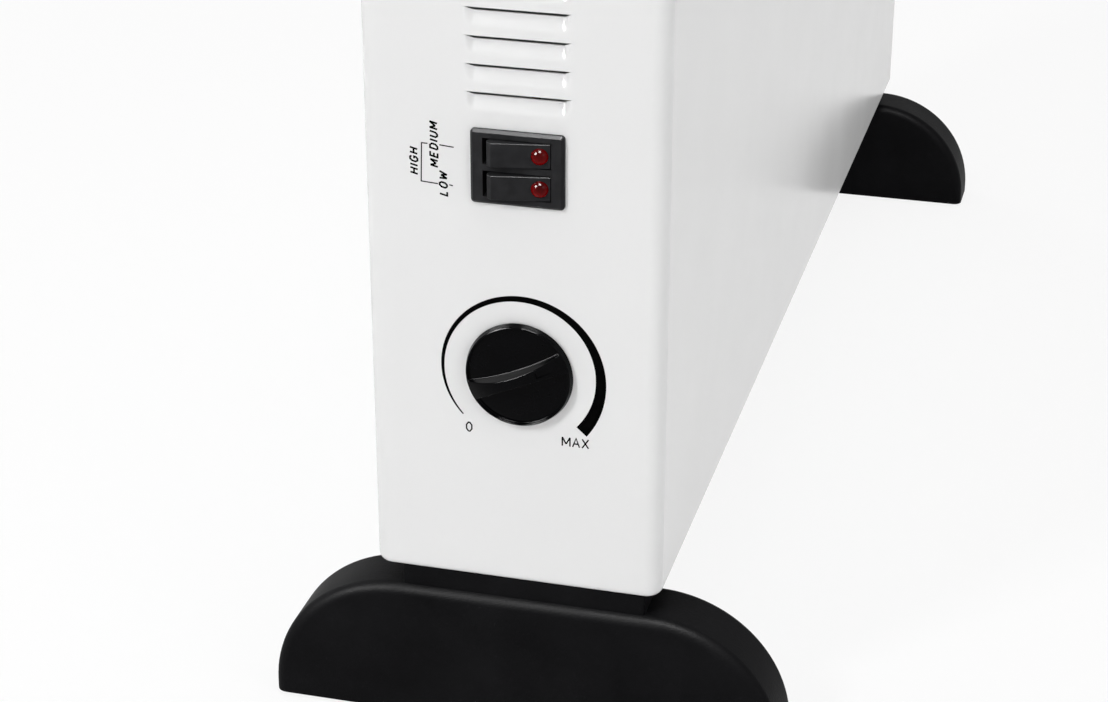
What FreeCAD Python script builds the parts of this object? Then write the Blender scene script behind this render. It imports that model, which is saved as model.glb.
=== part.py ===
"""Free-standing convector heater with a twin rocker switch and a thermostat knob on its end panel.

Millimetres, +Z up, floor at z = 0.  X runs along the length with the control end at -X, and the front face
looks towards -Y.  The origin lies on the floor, midway between the feet and midway along the whole length.
"""
import FreeCAD, Part
import math
import os
from FreeCAD import Vector

# Casing, one sheet bent round the front and both ends
BODY_LENGTH = 560.0
BODY_DEPTH = 102.0
BODY_HEIGHT = 345.0
SHEET = 0.8
BEND_RADIUS = 6.0
EDGE_RADIUS = 3.0
RIM_FLANGE = 12.0
REAR_END_RIM = 26.0
BODY_SETBACK = 2.0

# Stamped louvres on the end panels
LOUVRE_COUNT = 7
LOUVRE_LENGTH = 35.5
LOUVRE_DROP = 7.0
LOUVRE_RISE = 2.2
LOUVRE_PITCH = 9.3
LOUVRE_FIRST_HEIGHT = 177.5

# Feet
FOOT_TOP = 52.6
FOOT_FLAT_LENGTH = 90.0
FOOT_CORNER_RADIUS = 47.5
FOOT_THICKNESS = 25.5
FOOT_PROUD = 1.5
FOOT_EDGE_RADIUS = 4.0
NECK_CORNER_RADIUS = 1.2
FOOT_WALL = 2.6
FOOT_RIB = 2.0
NECK_HEIGHT = 7.4
NECK_RECESS = 1.5
NECK_INSET = 7.5
PAD_DIAMETER = 16.0
PAD_HEIGHT = 1.5
PAD_INSET = 14.0
FOOT_SCREW_SPACING = 60.0
FOOT_SCREW_DIAMETER = 5.0
FOOT_SCREW_SEAT = 6.0
FOOT_SCREW_HEAD_DIAMETER = 10.0
FOOT_SCREW_HEAD_HEIGHT = 3.0
FOOT_BOSS_DIAMETER = 15.0
FOOT_PLATE = 2.5

# Compartments
BULKHEAD_DEPTH = 72.0
FAR_BULKHEAD_DEPTH = 40.0
BULKHEAD_SHEET = 1.0
BULKHEAD_FOLD = 10.0
SHIELD_GAP = 8.0
SHIELD_SHEET = 0.6
SHIELD_LIP = 6.0
SHIELD_END_GAP = 22.0

# Grilles
GRILLE_SHEET = 0.9
GRILLE_LAP = 5.0
GRILLE_SLOT = 4.0
GRILLE_ROWS = 6
GRILLE_COLUMNS = 6
GRILLE_BRIDGE = 9.0
INLET_ROWS = 7
INLET_PITCH = 11.0
INLET_HEIGHT = 28.0
REAR_PANEL_INSET = 4.0
REAR_PANEL_END_INSET = 12.0
REAR_PANEL_CORNER = 6.0

# Heating elements
ELEMENT_SPACING = 58.0
ELEMENT_HEIGHT = 62.0
ROD_DIAMETER = 8.5
HUB_DIAMETER = 15.0
FIN_THICKNESS = 1.8
FIN_ANGLE = 33.0
FIN_REACH_LOW = 24.0
FIN_REACH_HIGH = 31.0
FIN_END_GAP = 16.0
ROD_STUB = 22.0
BUSH_DIAMETER = 17.0
BUSH_FLANGE = 23.0
BUSH_FLANGE_THICKNESS = 4.0

# Twin rocker switch
SWITCH_HEIGHT = 153.0
BEZEL_WIDTH = 31.2
BEZEL_HEIGHT = 25.2
BEZEL_PROUD = 2.0
BEZEL_BEVEL = 0.9
BEZEL_CORNER_RADIUS = 1.3
SWITCH_BODY_WIDTH = 28.0
SWITCH_BODY_HEIGHT = 22.2
SWITCH_BODY_DEPTH = 22.0
WINDOW_WIDTH = 22.8
WINDOW_HEIGHT = 8.9
WINDOW_PITCH = 11.1
ROCKER_SIDE_GAP = 0.35
ROCKER_HALF_LENGTH = 10.3
ROCKER_CROWN = 5.9
ROCKER_CHAMFER = 1.4
ROCKER_EDGE_RADIUS = 0.3
ROCKER_END_WALL = 1.3
ROCKER_KEEL = 4.5
ROCKER_KEEL_WIDTH = 5.0
ROCKER_WAIST = 14.0
ROCKER_TILT = 10.4
PIVOT_DEPTH = 4.0
TRUNNION_DIAMETER = 2.4
TRUNNION_LENGTH = 0.6
LENS_DIAMETER = 5.5
LENS_OFFSET = 6.8
LENS_DOME = 1.7
LENS_SEAT = 1.5
SPADE_WIDTH = 4.8
SPADE_THICKNESS = 0.8
SPADE_LENGTH = 9.0
SPADE_SPACING = 8.0

# Thermostat and its knob
KNOB_HEIGHT_ON_PANEL = 80.1
KNOB_DIAMETER = 37.0
KNOB_RIM_DIAMETER = 35.8
KNOB_GAP = 0.5
KNOB_RIM_HEIGHT = 2.7
KNOB_CREST_HEIGHT = 7.9
KNOB_RIM_LAND = 0.7
KNOB_FLOOR_HEIGHT = 3.4
KNOB_FLOOR_EDGE = 1.8
KNOB_EDGE_RADIUS = 0.3
KNOB_WAIST = 3.2
KNOB_WAIST_RADIUS = 180.0
KNOB_FLANK_LEAN = 1.6
KNOB_POINTER_ANGLE = 23.4
POINTER_WIDTH = 2.0
POINTER_START = 8.0
POINTER_END = 13.5
POINTER_DEPTH = 0.6
HUB_OUTSIDE = 11.0
HUB_REACH = 6.0
PANEL_HOLE_CLEARANCE = 1.0
SPINDLE_DIAMETER = 6.0
SPINDLE_FLAT = 1.5
SPINDLE_INSET = 18.0
KNOB_ROOF = 1.0
THERMOSTAT_STANDOFF = 10.0
BRACKET_SHEET = 1.2
BRACKET_WIDTH = 26.0
BRACKET_SPAN = 44.0
BRACKET_TAB = 9.0
THERMOSTAT_WIDTH = 34.0
THERMOSTAT_HEIGHT = 26.0
THERMOSTAT_DEPTH = 20.0
NECK_THREAD_DIAMETER = 10.0
NUT_ACROSS_FLATS = 14.0
NUT_THICKNESS = 2.5
BLADE_LENGTH = 46.0
BLADE_WIDTH = 8.0
BLADE_THICKNESS = 1.0

# Fittings in the control compartment
TERMINAL_BLOCK_WIDTH = 30.0
TERMINAL_BLOCK_HEIGHT = 24.0
TERMINAL_BLOCK_DEPTH = 17.0
TERMINAL_BORE_DEPTH = 9.0
TERMINAL_SCREW_WELL = 4.2
LEAD_DIAMETER = 2.6
CUTOUT_DIAMETER = 16.0
CUTOUT_HEIGHT = 9.0
CUTOUT_FLANGE_LENGTH = 30.0
CUTOUT_FLANGE_THICKNESS = 1.0
GLAND_BORE = 7.5
GLAND_DIAMETER = 13.0
GLAND_FLANGE = 20.0
GLAND_FLANGE_THICKNESS = 3.0
GLAND_LENGTH = 16.0
GLAND_DEPTH = 36.0
GLAND_HEIGHT = 30.0
SCREW_DIAMETER = 3.5
SCREW_HEAD_DIAMETER = 7.0
SCREW_HEAD_HEIGHT = 2.2
SCREW_HEAD_ROUNDING = 0.55
SCREW_RECESS_SPAN = 0.55
SCREW_RECESS_BLADE = 0.16
SCREW_RECESS_DEPTH = 0.6
SCREW_LENGTH = 8.0

# Clearances
RUN = 0.05
FIT = 0.1
DROP_IN = 0.3

# Places worked out from the sizes above
KNOB_OUT = KNOB_CREST_HEIGHT
BODY_SHIFT = (KNOB_OUT - FOOT_PROUD) / 2
CONTROL_X = BODY_SHIFT - BODY_LENGTH / 2
FAR_X = BODY_SHIFT + BODY_LENGTH / 2
FRONT_Y = BODY_SETBACK - BODY_DEPTH / 2
REAR_Y = BODY_SETBACK + BODY_DEPTH / 2
BOTTOM_Z = FOOT_TOP + NECK_HEIGHT
TOP_Z = BOTTOM_Z + BODY_HEIGHT
BULKHEAD_X = CONTROL_X + BULKHEAD_DEPTH
FAR_BULKHEAD_X = FAR_X - FAR_BULKHEAD_DEPTH
SWITCH_Z = BOTTOM_Z + SWITCH_HEIGHT
KNOB_Z = BOTTOM_Z + KNOB_HEIGHT_ON_PANEL
PANEL_HOLE_DIAMETER = HUB_OUTSIDE + 2 * PANEL_HOLE_CLEARANCE
MIDDLE_Y = BODY_SETBACK
X_AXIS = Vector(1, 0, 0)
Y_AXIS = Vector(0, 1, 0)
Z_AXIS = Vector(0, 0, 1)


def box(x0, x1, y0, y1, z0, z1):
    """Block between two corners, given as limits along each axis."""
    return Part.makeBox(x1 - x0, y1 - y0, z1 - z0, Vector(x0, y0, z0))


def rod(diameter, start, end):
    """Round bar from one point to another."""
    along = Vector(end) - Vector(start)
    return Part.makeCylinder(diameter / 2, along.Length, Vector(start), along)


def along_edges(shape, axis):
    """Straight edges of a shape that run along an axis."""
    picked = []
    for edge in shape.Edges:
        first, last = edge.Vertexes[0].Point, edge.Vertexes[-1].Point
        run = last - first
        if run.Length > 0 and abs(run.normalize().dot(axis)) > 0.999:
            picked.append(edge)
    return picked


def level_edges(shape, heights):
    """Edges that lie wholly at one of the given heights."""
    picked = []
    for edge in shape.Edges:
        limits = edge.BoundBox
        for height in heights:
            if abs(limits.ZMin - height) < 1e-6 and abs(limits.ZMax - height) < 1e-6:
                picked.append(edge)
    return picked


def prism(points, direction):
    """Straight-sided outline pushed along a direction."""
    corners = [Vector(*point) for point in points]
    outline = Part.makePolygon(corners + corners[:1])
    return Part.Face(outline).extrude(Vector(*direction))


def slot(centre, length, width, along, through):
    """Punched slot with round ends: a cutter centred on a point, pushed both ways along 'through'."""
    half = Vector(along) * ((length - width) / 2)
    side = Vector(along).cross(Vector(through).normalize()) * (width / 2)
    tip = Vector(along) * (width / 2)
    start = Vector(centre) - Vector(through)
    a, b = start - half, start + half
    edges = [
        Part.LineSegment(a + side, b + side).toShape(),
        Part.Arc(b + side, b + tip, b - side).toShape(),
        Part.LineSegment(b - side, a - side).toShape(),
        Part.Arc(a - side, a - tip, a + side).toShape(),
    ]
    return Part.Face(Part.Wire(edges)).extrude(Vector(through) * 2)


def spread(first, last, count):
    """Evenly spaced values from first to last, both kept."""
    return [first + (last - first) * i / (count - 1) for i in range(count)]


def joined(shapes):
    """One solid from shapes that overlap or share faces."""
    whole = shapes[0].fuse(shapes[1:]) if len(shapes) > 1 else shapes[0]
    return whole.removeSplitter()


def louvre_bulge():
    """Stamped bulge lying on the plane z = 0, lip along X at y = 0, fading out towards +Y."""
    bend = (LOUVRE_DROP ** 2 + LOUVRE_RISE ** 2) / (4 * LOUVRE_RISE)
    half_turn = math.asin(LOUVRE_DROP / 2 / bend) / 2
    crown = Vector(0, bend * math.sin(half_turn), LOUVRE_RISE - bend * (1 - math.cos(half_turn)))
    middle = Vector(0, LOUVRE_DROP / 2, LOUVRE_RISE / 2)
    fade = Vector(0, LOUVRE_DROP - crown.y, LOUVRE_RISE - crown.z)
    lip, toe = Vector(0, 0, LOUVRE_RISE), Vector(0, LOUVRE_DROP, 0)
    outline = Part.Wire([
        Part.LineSegment(Vector(0, 0, 0), lip).toShape(),
        Part.Arc(lip, crown, middle).toShape(),
        Part.Arc(middle, fade, toe).toShape(),
        Part.LineSegment(toe, Vector(0, 0, 0)).toShape(),
    ])
    profile = Part.Face(outline)
    half = LOUVRE_LENGTH / 2 - LOUVRE_DROP
    right_end = profile.revolve(Vector(0, 0, 0), Z_AXIS, -90)
    left_end = profile.revolve(Vector(0, 0, 0), Z_AXIS, 90)
    right_end.translate(Vector(half, 0, 0))
    left_end.translate(Vector(-half, 0, 0))
    middle_part = profile.extrude(Vector(2 * half, 0, 0))
    middle_part.translate(Vector(-half, 0, 0))
    return joined([middle_part, right_end, left_end])


def on_end_panel(shape, face_x, outward, height):
    """Lay a shape from the plane z = 0 on an end panel: its z turns outward and its y turns down."""
    placed = shape.copy()
    placed.rotate(Vector(0, 0, 0), X_AXIS, -90)
    placed.rotate(Vector(0, 0, 0), Z_AXIS, -90 * outward)
    placed.translate(Vector(face_x, 0, height))
    return placed


def casing_wrap():
    """Front and ends bent from one sheet, with folded rims at the top, bottom and rear."""
    skin = []
    for inset in (0, SHEET):
        block = box(CONTROL_X + inset, FAR_X - inset, FRONT_Y + inset, REAR_Y - inset,
                    BOTTOM_Z + inset, TOP_Z - inset)
        block = block.makeFillet(BEND_RADIUS - inset, along_edges(block, Z_AXIS))
        skin.append(block.makeFillet(EDGE_RADIUS - inset,
                                     level_edges(block, (BOTTOM_Z + inset, TOP_Z - inset))))
    shell = skin[0].cut(skin[1])
    bulge = louvre_bulge()
    bulges, hollows = [], []
    for face_x, outward in ((CONTROL_X, -1), (FAR_X, 1)):
        for i in range(LOUVRE_COUNT):
            height = BOTTOM_Z + LOUVRE_FIRST_HEIGHT + i * LOUVRE_PITCH
            bulges.append(on_end_panel(bulge, face_x, outward, height))
            hollows.append(on_end_panel(bulge, face_x - outward * SHEET, outward, height))
    shell = shell.fuse(bulges)
    cutters = hollows + [rear_opening(), top_opening(), bottom_opening(), switch_cutout()]
    cutters.append(rod(PANEL_HOLE_DIAMETER, (CONTROL_X - SHEET, 0, KNOB_Z), (CONTROL_X + 2 * SHEET, 0, KNOB_Z)))
    for x, y in foot_screw_places():
        cutters.append(rod(FOOT_SCREW_DIAMETER + 2 * FIT, (x, y, BOTTOM_Z - SHEET), (x, y, BOTTOM_Z + 2 * SHEET)))
    for x, z in rear_screw_places():
        cutters.append(rod(SCREW_DIAMETER + 2 * FIT, (x, REAR_Y - 2 * SHEET, z), (x, REAR_Y + SHEET, z)))
    for x, y in bulkhead_screw_places():
        cutters.append(rod(SCREW_DIAMETER + 2 * FIT, (x, y, BOTTOM_Z - SHEET), (x, y, BOTTOM_Z + 2 * SHEET)))
    return shell.cut(cutters).removeSplitter()


def rear_opening():
    """Cutter for the rear of the casing, inside its folded rim."""
    margin = SHEET + RIM_FLANGE
    return box(CONTROL_X + REAR_END_RIM, FAR_X - REAR_END_RIM, REAR_Y - 2 * SHEET, REAR_Y + SHEET,
               BOTTOM_Z + margin, TOP_Z - margin)


def air_limits():
    """Limits in X and Y of the air openings at the top and bottom, between the bulkheads."""
    return (BULKHEAD_X + BULKHEAD_SHEET + BULKHEAD_FOLD, FAR_BULKHEAD_X - BULKHEAD_SHEET - BULKHEAD_FOLD,
            FRONT_Y + RIM_FLANGE, REAR_Y - RIM_FLANGE)


def top_opening():
    """Cutter for the air outlet in the top of the casing."""
    return box(*air_limits(), TOP_Z - 2 * SHEET, TOP_Z + SHEET)


def bottom_opening():
    """Cutter for the air inlet in the bottom of the casing."""
    return box(*air_limits(), BOTTOM_Z - SHEET, BOTTOM_Z + 2 * SHEET)


def switch_cutout():
    """Cutter for the switch in the control end panel."""
    half_width = SWITCH_BODY_WIDTH / 2 + DROP_IN
    half_height = SWITCH_BODY_HEIGHT / 2 + DROP_IN
    return box(CONTROL_X - SHEET, CONTROL_X + 2 * SHEET, -half_width, half_width,
               SWITCH_Z - half_height, SWITCH_Z + half_height)


def foot_centre_x(end):
    """Middle of a foot's thickness; end is -1 at the controls and 1 at the far end."""
    face = CONTROL_X if end < 0 else FAR_X
    return face - end * (FOOT_THICKNESS / 2 - FOOT_PROUD)


def foot_screw_places():
    """X and Y of the four screws that hold the feet."""
    return [(foot_centre_x(end), side * FOOT_SCREW_SPACING / 2) for end in (-1, 1) for side in (-1, 1)]


def bulkhead_screw_places():
    """X and Y of the screws through the casing's bottom into the bulkheads' folds."""
    fold_middles = (BULKHEAD_X - BULKHEAD_FOLD / 2, FAR_BULKHEAD_X + BULKHEAD_FOLD / 2)
    spacing = BODY_DEPTH / 4
    return [(x, MIDDLE_Y + side * spacing) for x in fold_middles for side in (-1, 1)]


def rear_screw_places():
    """X and Z of the screws round the rear panel."""
    inset = SHEET + RIM_FLANGE / 2
    end_inset = (REAR_PANEL_END_INSET + REAR_END_RIM) / 2
    columns = spread(CONTROL_X + end_inset, FAR_X - end_inset, 4)
    rows = (BOTTOM_Z + inset, TOP_Z - inset)
    places = [(x, z) for x in columns for z in rows]
    middle = (BOTTOM_Z + TOP_Z) / 2
    places += [(columns[0], middle), (columns[-1], middle)]
    return places


def slot_grid(x0, x1, columns, width, make):
    """Slots in columns between two limits, each made by a function of its middle and length."""
    length = (x1 - x0 - (columns - 1) * GRILLE_BRIDGE) / columns
    return [make(x0 + length / 2 + i * (length + GRILLE_BRIDGE), length, width) for i in range(columns)]


def air_grille(z0):
    """Slotted plate behind the rim of an air opening, its underside at the given height."""
    x0, x1, y0, y1 = air_limits()
    plate = box(x0 - GRILLE_LAP, x1 + GRILLE_LAP, y0 - GRILLE_LAP, y1 + GRILLE_LAP, z0, z0 + GRILLE_SHEET)
    middle_z = z0 + GRILLE_SHEET / 2
    margin = GRILLE_BRIDGE
    slots = []
    for y in spread(y0 + margin, y1 - margin, GRILLE_ROWS):
        slots += slot_grid(x0 + margin, x1 - margin, GRILLE_COLUMNS, GRILLE_SLOT,
                           lambda x, length, width: slot((x, y, middle_z), length, width, X_AXIS,
                                                         Z_AXIS * GRILLE_SHEET))
    return plate.cut(slots)


def top_grille():
    """Air outlet, held under the casing's top rim."""
    return air_grille(TOP_Z - SHEET - GRILLE_SHEET)


def bottom_grille():
    """Air inlet, lying on the casing's bottom rim."""
    return air_grille(BOTTOM_Z + SHEET)


def rear_panel():
    """Flat rear sheet on the casing's rear rim, with rows of inlet slots low down."""
    plate = box(CONTROL_X + REAR_PANEL_END_INSET, FAR_X - REAR_PANEL_END_INSET, REAR_Y, REAR_Y + SHEET,
                BOTTOM_Z + REAR_PANEL_INSET, TOP_Z - REAR_PANEL_INSET)
    plate = plate.makeFillet(REAR_PANEL_CORNER, along_edges(plate, Y_AXIS))
    x0, x1, _, _ = air_limits()
    cutters = []
    for i in range(INLET_ROWS):
        z = BOTTOM_Z + INLET_HEIGHT + i * INLET_PITCH
        cutters += slot_grid(x0, x1, GRILLE_COLUMNS, GRILLE_SLOT,
                             lambda x, length, width: slot((x, REAR_Y + SHEET / 2, z), length, width, X_AXIS,
                                                           Y_AXIS * SHEET))
    for x, z in rear_screw_places():
        cutters.append(rod(SCREW_DIAMETER + 2 * FIT, (x, REAR_Y - SHEET, z), (x, REAR_Y + 2 * SHEET, z)))
    cutters.append(rod(GLAND_DIAMETER + 2 * FIT, gland_point(-2 * SHEET), gland_point(2 * SHEET)))
    return plate.cut(cutters)


def cross_recess(top, inward, span, blade, depth):
    """Cutter for a cross-head driver, sunk inward from the top of a screw head."""
    first = Vector(inward.z, inward.x, inward.y)
    second = inward.cross(first)
    blades = []
    for along, across in ((first, second), (second, first)):
        half, side = along * (span / 2), across * (blade / 2)
        corners = (top - half - side, top + half - side, top + half + side, top - half + side)
        blades.append(prism(corners, inward * depth))
    return joined(blades)


def pan_head_screw(point, inward, length, diameter, head, head_height):
    """Screw whose head seats at a point, with its shank going inward and a domed, cross-recessed head outside."""
    inward = Vector(inward)
    seat = Vector(point)
    shank = Part.makeCylinder(diameter / 2, length, seat, inward)
    cap = Part.makeCylinder(head / 2, head_height, seat, -inward)
    outer = [edge for edge in cap.Edges if abs(edge.CenterOfMass.sub(seat).dot(inward) + head_height) < 1e-6]
    cap = cap.makeFillet(head_height * SCREW_HEAD_ROUNDING, outer)
    recess = cross_recess(seat - inward * head_height, inward, head * SCREW_RECESS_SPAN, head * SCREW_RECESS_BLADE,
                          head_height * SCREW_RECESS_DEPTH)
    return joined([shank, cap]).cut(recess)


def rear_panel_screws():
    """Screws round the rear panel."""
    return Part.makeCompound([
        pan_head_screw((x, REAR_Y + SHEET, z), (0, -1, 0), SCREW_LENGTH, SCREW_DIAMETER, SCREW_HEAD_DIAMETER,
                       SCREW_HEAD_HEIGHT)
        for x, z in rear_screw_places()])


def bulkhead_screws():
    """Screws from below through the casing's bottom into the bulkheads."""
    return Part.makeCompound([
        pan_head_screw((x, y, BOTTOM_Z), (0, 0, 1), SCREW_LENGTH, SCREW_DIAMETER, SCREW_HEAD_DIAMETER,
                       SCREW_HEAD_HEIGHT)
        for x, y in bulkhead_screw_places()])


def bulkhead(x, fold_side):
    """Cross wall from front to rear and from bottom to top, folded at both ends towards fold_side."""
    y0, y1 = FRONT_Y + SHEET, REAR_Y - SHEET
    z0, z1 = BOTTOM_Z + SHEET, TOP_Z - SHEET
    web_x = sorted((x, x - fold_side * BULKHEAD_SHEET))
    fold_x = sorted((x, x + fold_side * BULKHEAD_FOLD))
    web = box(*web_x, y0, y1, z0, z1)
    web = web.makeChamfer(EDGE_RADIUS, along_edges(web, X_AXIS))
    wall = joined([
        web,
        box(*fold_x, y0 + RIM_FLANGE, y1 - RIM_FLANGE, z0, z0 + BULKHEAD_SHEET),
        box(*fold_x, y0 + RIM_FLANGE, y1 - RIM_FLANGE, z1 - BULKHEAD_SHEET, z1),
    ])
    cutters = []
    for z in element_heights():
        start, end = (web_x[0] - SHEET, MIDDLE_Y, z), (web_x[1] + SHEET, MIDDLE_Y, z)
        cutters.append(rod(BUSH_DIAMETER + 2 * FIT, start, end))
    for screw_x, y in bulkhead_screw_places():
        start, end = (screw_x, y, BOTTOM_Z), (screw_x, y, z0 + 2 * BULKHEAD_SHEET)
        cutters.append(rod(SCREW_DIAMETER + 2 * FIT, start, end))
    return wall.cut(cutters)


def control_bulkhead():
    """Wall between the control compartment and the hot side."""
    return bulkhead(BULKHEAD_X, -1)


def far_bulkhead():
    """Wall that carries the far ends of the elements."""
    return bulkhead(FAR_BULKHEAD_X, 1)


def heat_shield(y, lip_side):
    """Thin screen between the bulkheads, lipped towards lip_side at its top and bottom."""
    x0, x1 = BULKHEAD_X + BULKHEAD_SHEET, FAR_BULKHEAD_X - BULKHEAD_SHEET
    z0, z1 = BOTTOM_Z + SHIELD_END_GAP, TOP_Z - SHIELD_END_GAP
    sheet_y = sorted((y, y + lip_side * SHIELD_SHEET))
    lip_y = sorted((y, y + lip_side * SHIELD_LIP))
    return joined([
        box(x0, x1, *sheet_y, z0, z1),
        box(x0, x1, *lip_y, z0, z0 + SHIELD_SHEET),
        box(x0, x1, *lip_y, z1 - SHIELD_SHEET, z1),
    ])


def front_heat_shield():
    """Screen that keeps the front sheet cool."""
    return heat_shield(FRONT_Y + SHEET + SHIELD_GAP, -1)


def rear_heat_shield():
    """Screen that keeps the rear panel cool."""
    return heat_shield(REAR_Y - SHEET - SHIELD_GAP, 1)


def element_heights():
    """Heights of the low-power and the high-power element."""
    low = BOTTOM_Z + ELEMENT_HEIGHT
    return (low, low + ELEMENT_SPACING)


def heater_fins(z, reach):
    """Extruded X-shaped fins round a hub, open at the bore for the rod."""
    x0 = BULKHEAD_X + BULKHEAD_SHEET + FIN_END_GAP
    x1 = FAR_BULKHEAD_X - BULKHEAD_SHEET - FIN_END_GAP
    length = x1 - x0
    fins = [rod(HUB_DIAMETER, (x0, MIDDLE_Y, z), (x1, MIDDLE_Y, z))]
    centre = Vector(x0, MIDDLE_Y, z)
    for angle in (FIN_ANGLE, -FIN_ANGLE):
        wing = box(x0, x1, MIDDLE_Y - reach, MIDDLE_Y + reach, z - FIN_THICKNESS / 2, z + FIN_THICKNESS / 2)
        wing.rotate(centre, X_AXIS, angle)
        fins.append(wing)
    bore = rod(ROD_DIAMETER + 2 * RUN, (x0 - length, MIDDLE_Y, z), (x1 + length, MIDDLE_Y, z))
    return joined(fins).cut(bore)


def heater_rod(z):
    """Sheathed rod through the fins and both bushes, with a bare stud at each end."""
    x0, x1 = BULKHEAD_X - ROD_STUB, FAR_BULKHEAD_X + ROD_STUB
    stud = ROD_DIAMETER / 2
    return joined([
        rod(ROD_DIAMETER, (x0 + stud, MIDDLE_Y, z), (x1 - stud, MIDDLE_Y, z)),
        rod(stud, (x0 - stud, MIDDLE_Y, z), (x1 + stud, MIDDLE_Y, z)),
    ])


def element_bushes():
    """Ceramic bushes in the bulkheads, flanged on the hot side."""
    bushes = []
    for x, hot in ((BULKHEAD_X + BULKHEAD_SHEET, 1), (FAR_BULKHEAD_X - BULKHEAD_SHEET, -1)):
        for z in element_heights():
            seat = Vector(x, MIDDLE_Y, z)
            flange = rod(BUSH_FLANGE, seat, seat + X_AXIS * (hot * BUSH_FLANGE_THICKNESS))
            barrel = rod(BUSH_DIAMETER, seat, seat - X_AXIS * (hot * 3 * BUSH_FLANGE_THICKNESS))
            bore = rod(ROD_DIAMETER + 2 * RUN, seat - X_AXIS * BODY_DEPTH, seat + X_AXIS * BODY_DEPTH)
            bushes.append(joined([flange, barrel]).cut(bore))
    return Part.makeCompound(bushes)


def switch_face_x():
    """Outer face of the switch bezel."""
    return CONTROL_X - BEZEL_PROUD


def rocker_heights():
    """Heights of the lower and the upper rocker."""
    return (SWITCH_Z - WINDOW_PITCH / 2, SWITCH_Z + WINDOW_PITCH / 2)


def pivot_x():
    """Depth of the rockers' pivots."""
    return switch_face_x() + PIVOT_DEPTH


def switch_housing():
    """Moulded switch body with a bevelled bezel, two windows and the sockets for the rockers' trunnions."""
    face = switch_face_x()
    bezel = box(face, CONTROL_X, -BEZEL_WIDTH / 2, BEZEL_WIDTH / 2, SWITCH_Z - BEZEL_HEIGHT / 2,
                SWITCH_Z + BEZEL_HEIGHT / 2)
    bezel = bezel.makeFillet(BEZEL_CORNER_RADIUS, along_edges(bezel, X_AXIS))
    rim = [edge for edge in bezel.Edges if abs(edge.BoundBox.XMin - face) < 1e-6 and edge.BoundBox.XLength < 1e-6]
    bezel = bezel.makeChamfer(BEZEL_BEVEL, rim)
    body = box(CONTROL_X, CONTROL_X + SWITCH_BODY_DEPTH, -SWITCH_BODY_WIDTH / 2, SWITCH_BODY_WIDTH / 2,
               SWITCH_Z - SWITCH_BODY_HEIGHT / 2, SWITCH_Z + SWITCH_BODY_HEIGHT / 2)
    floor_x = pivot_x() + ROCKER_KEEL + 2 * DROP_IN
    cutters = []
    for z in rocker_heights():
        cutters.append(box(face - BEZEL_PROUD, floor_x, -WINDOW_WIDTH / 2, WINDOW_WIDTH / 2,
                           z - WINDOW_HEIGHT / 2, z + WINDOW_HEIGHT / 2))
        reach = WINDOW_HEIGHT / 2 - ROCKER_SIDE_GAP + TRUNNION_LENGTH + ROCKER_SIDE_GAP / 2
        cutters.append(rod(TRUNNION_DIAMETER + 2 * RUN, (pivot_x(), 0, z - reach), (pivot_x(), 0, z + reach)))
    return joined([bezel, body]).cut(cutters)


def rocker_profile(z0):
    """Section of a rocker at mid travel, seen along its pivot: flat crown, keel and one bevelled end."""
    half, top = ROCKER_HALF_LENGTH, ROCKER_CROWN
    waist, keel = ROCKER_WAIST / 2, ROCKER_KEEL_WIDTH / 2
    section = [
        (half, top), (half, top - ROCKER_END_WALL), (waist, -ROCKER_KEEL / 2), (keel, -ROCKER_KEEL),
        (-keel, -ROCKER_KEEL), (-waist, -ROCKER_KEEL / 2), (-half, top - ROCKER_CHAMFER - ROCKER_END_WALL),
        (-half, top - ROCKER_CHAMFER), (ROCKER_CHAMFER - half, top),
    ]
    return [(pivot_x() - height, -along, z0) for along, height in section]


def tilted(shape, z):
    """Press the front end of a rocker in, as it rests."""
    turned = shape.copy()
    turned.rotate(Vector(pivot_x(), 0, z), Z_AXIS, ROCKER_TILT)
    return turned


def rocker(z):
    """Rocker with its trunnions and the seat for its lens."""
    height = WINDOW_HEIGHT - 2 * ROCKER_SIDE_GAP
    body = prism(rocker_profile(z - height / 2), (0, 0, height))
    crown_x = pivot_x() - ROCKER_CROWN
    top_edges = [edge for edge in body.Edges if edge.BoundBox.XMax < crown_x + ROCKER_CHAMFER + FIT]
    body = body.makeFillet(ROCKER_EDGE_RADIUS, top_edges)
    reach = height / 2 + TRUNNION_LENGTH
    pins = rod(TRUNNION_DIAMETER, (pivot_x(), 0, z - reach), (pivot_x(), 0, z + reach))
    seat = rod(LENS_DIAMETER + 2 * FIT, (crown_x - LENS_SEAT, -LENS_OFFSET, z),
               (crown_x + LENS_SEAT, -LENS_OFFSET, z))
    return tilted(joined([body, pins]).cut(seat), z)


def lens(z):
    """Red dome seated in a rocker."""
    crown_x = pivot_x() - ROCKER_CROWN
    radius = LENS_DIAMETER / 2
    centre = Vector(crown_x, -LENS_OFFSET, z)
    plug = rod(LENS_DIAMETER, centre + X_AXIS * LENS_SEAT, centre)
    ball_radius = (radius ** 2 + LENS_DOME ** 2) / (2 * LENS_DOME)
    ball = Part.makeSphere(ball_radius, centre + X_AXIS * (ball_radius - LENS_DOME))
    cap = ball.common(box(crown_x - LENS_DOME * 2, crown_x, -LENS_OFFSET - radius, radius - LENS_OFFSET,
                          z - radius, z + radius))
    return tilted(joined([plug, cap]), z)


def switch_terminals():
    """Spade terminals at the back of the switch, three for each rocker."""
    x0 = CONTROL_X + SWITCH_BODY_DEPTH
    spades = []
    for z in rocker_heights():
        for i in (-1, 0, 1):
            y = i * SPADE_SPACING
            spades.append(box(x0, x0 + SPADE_LENGTH, y - SPADE_THICKNESS / 2, y + SPADE_THICKNESS / 2,
                              z - SPADE_WIDTH / 2, z + SPADE_WIDTH / 2))
    return Part.makeCompound(spades)


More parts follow.
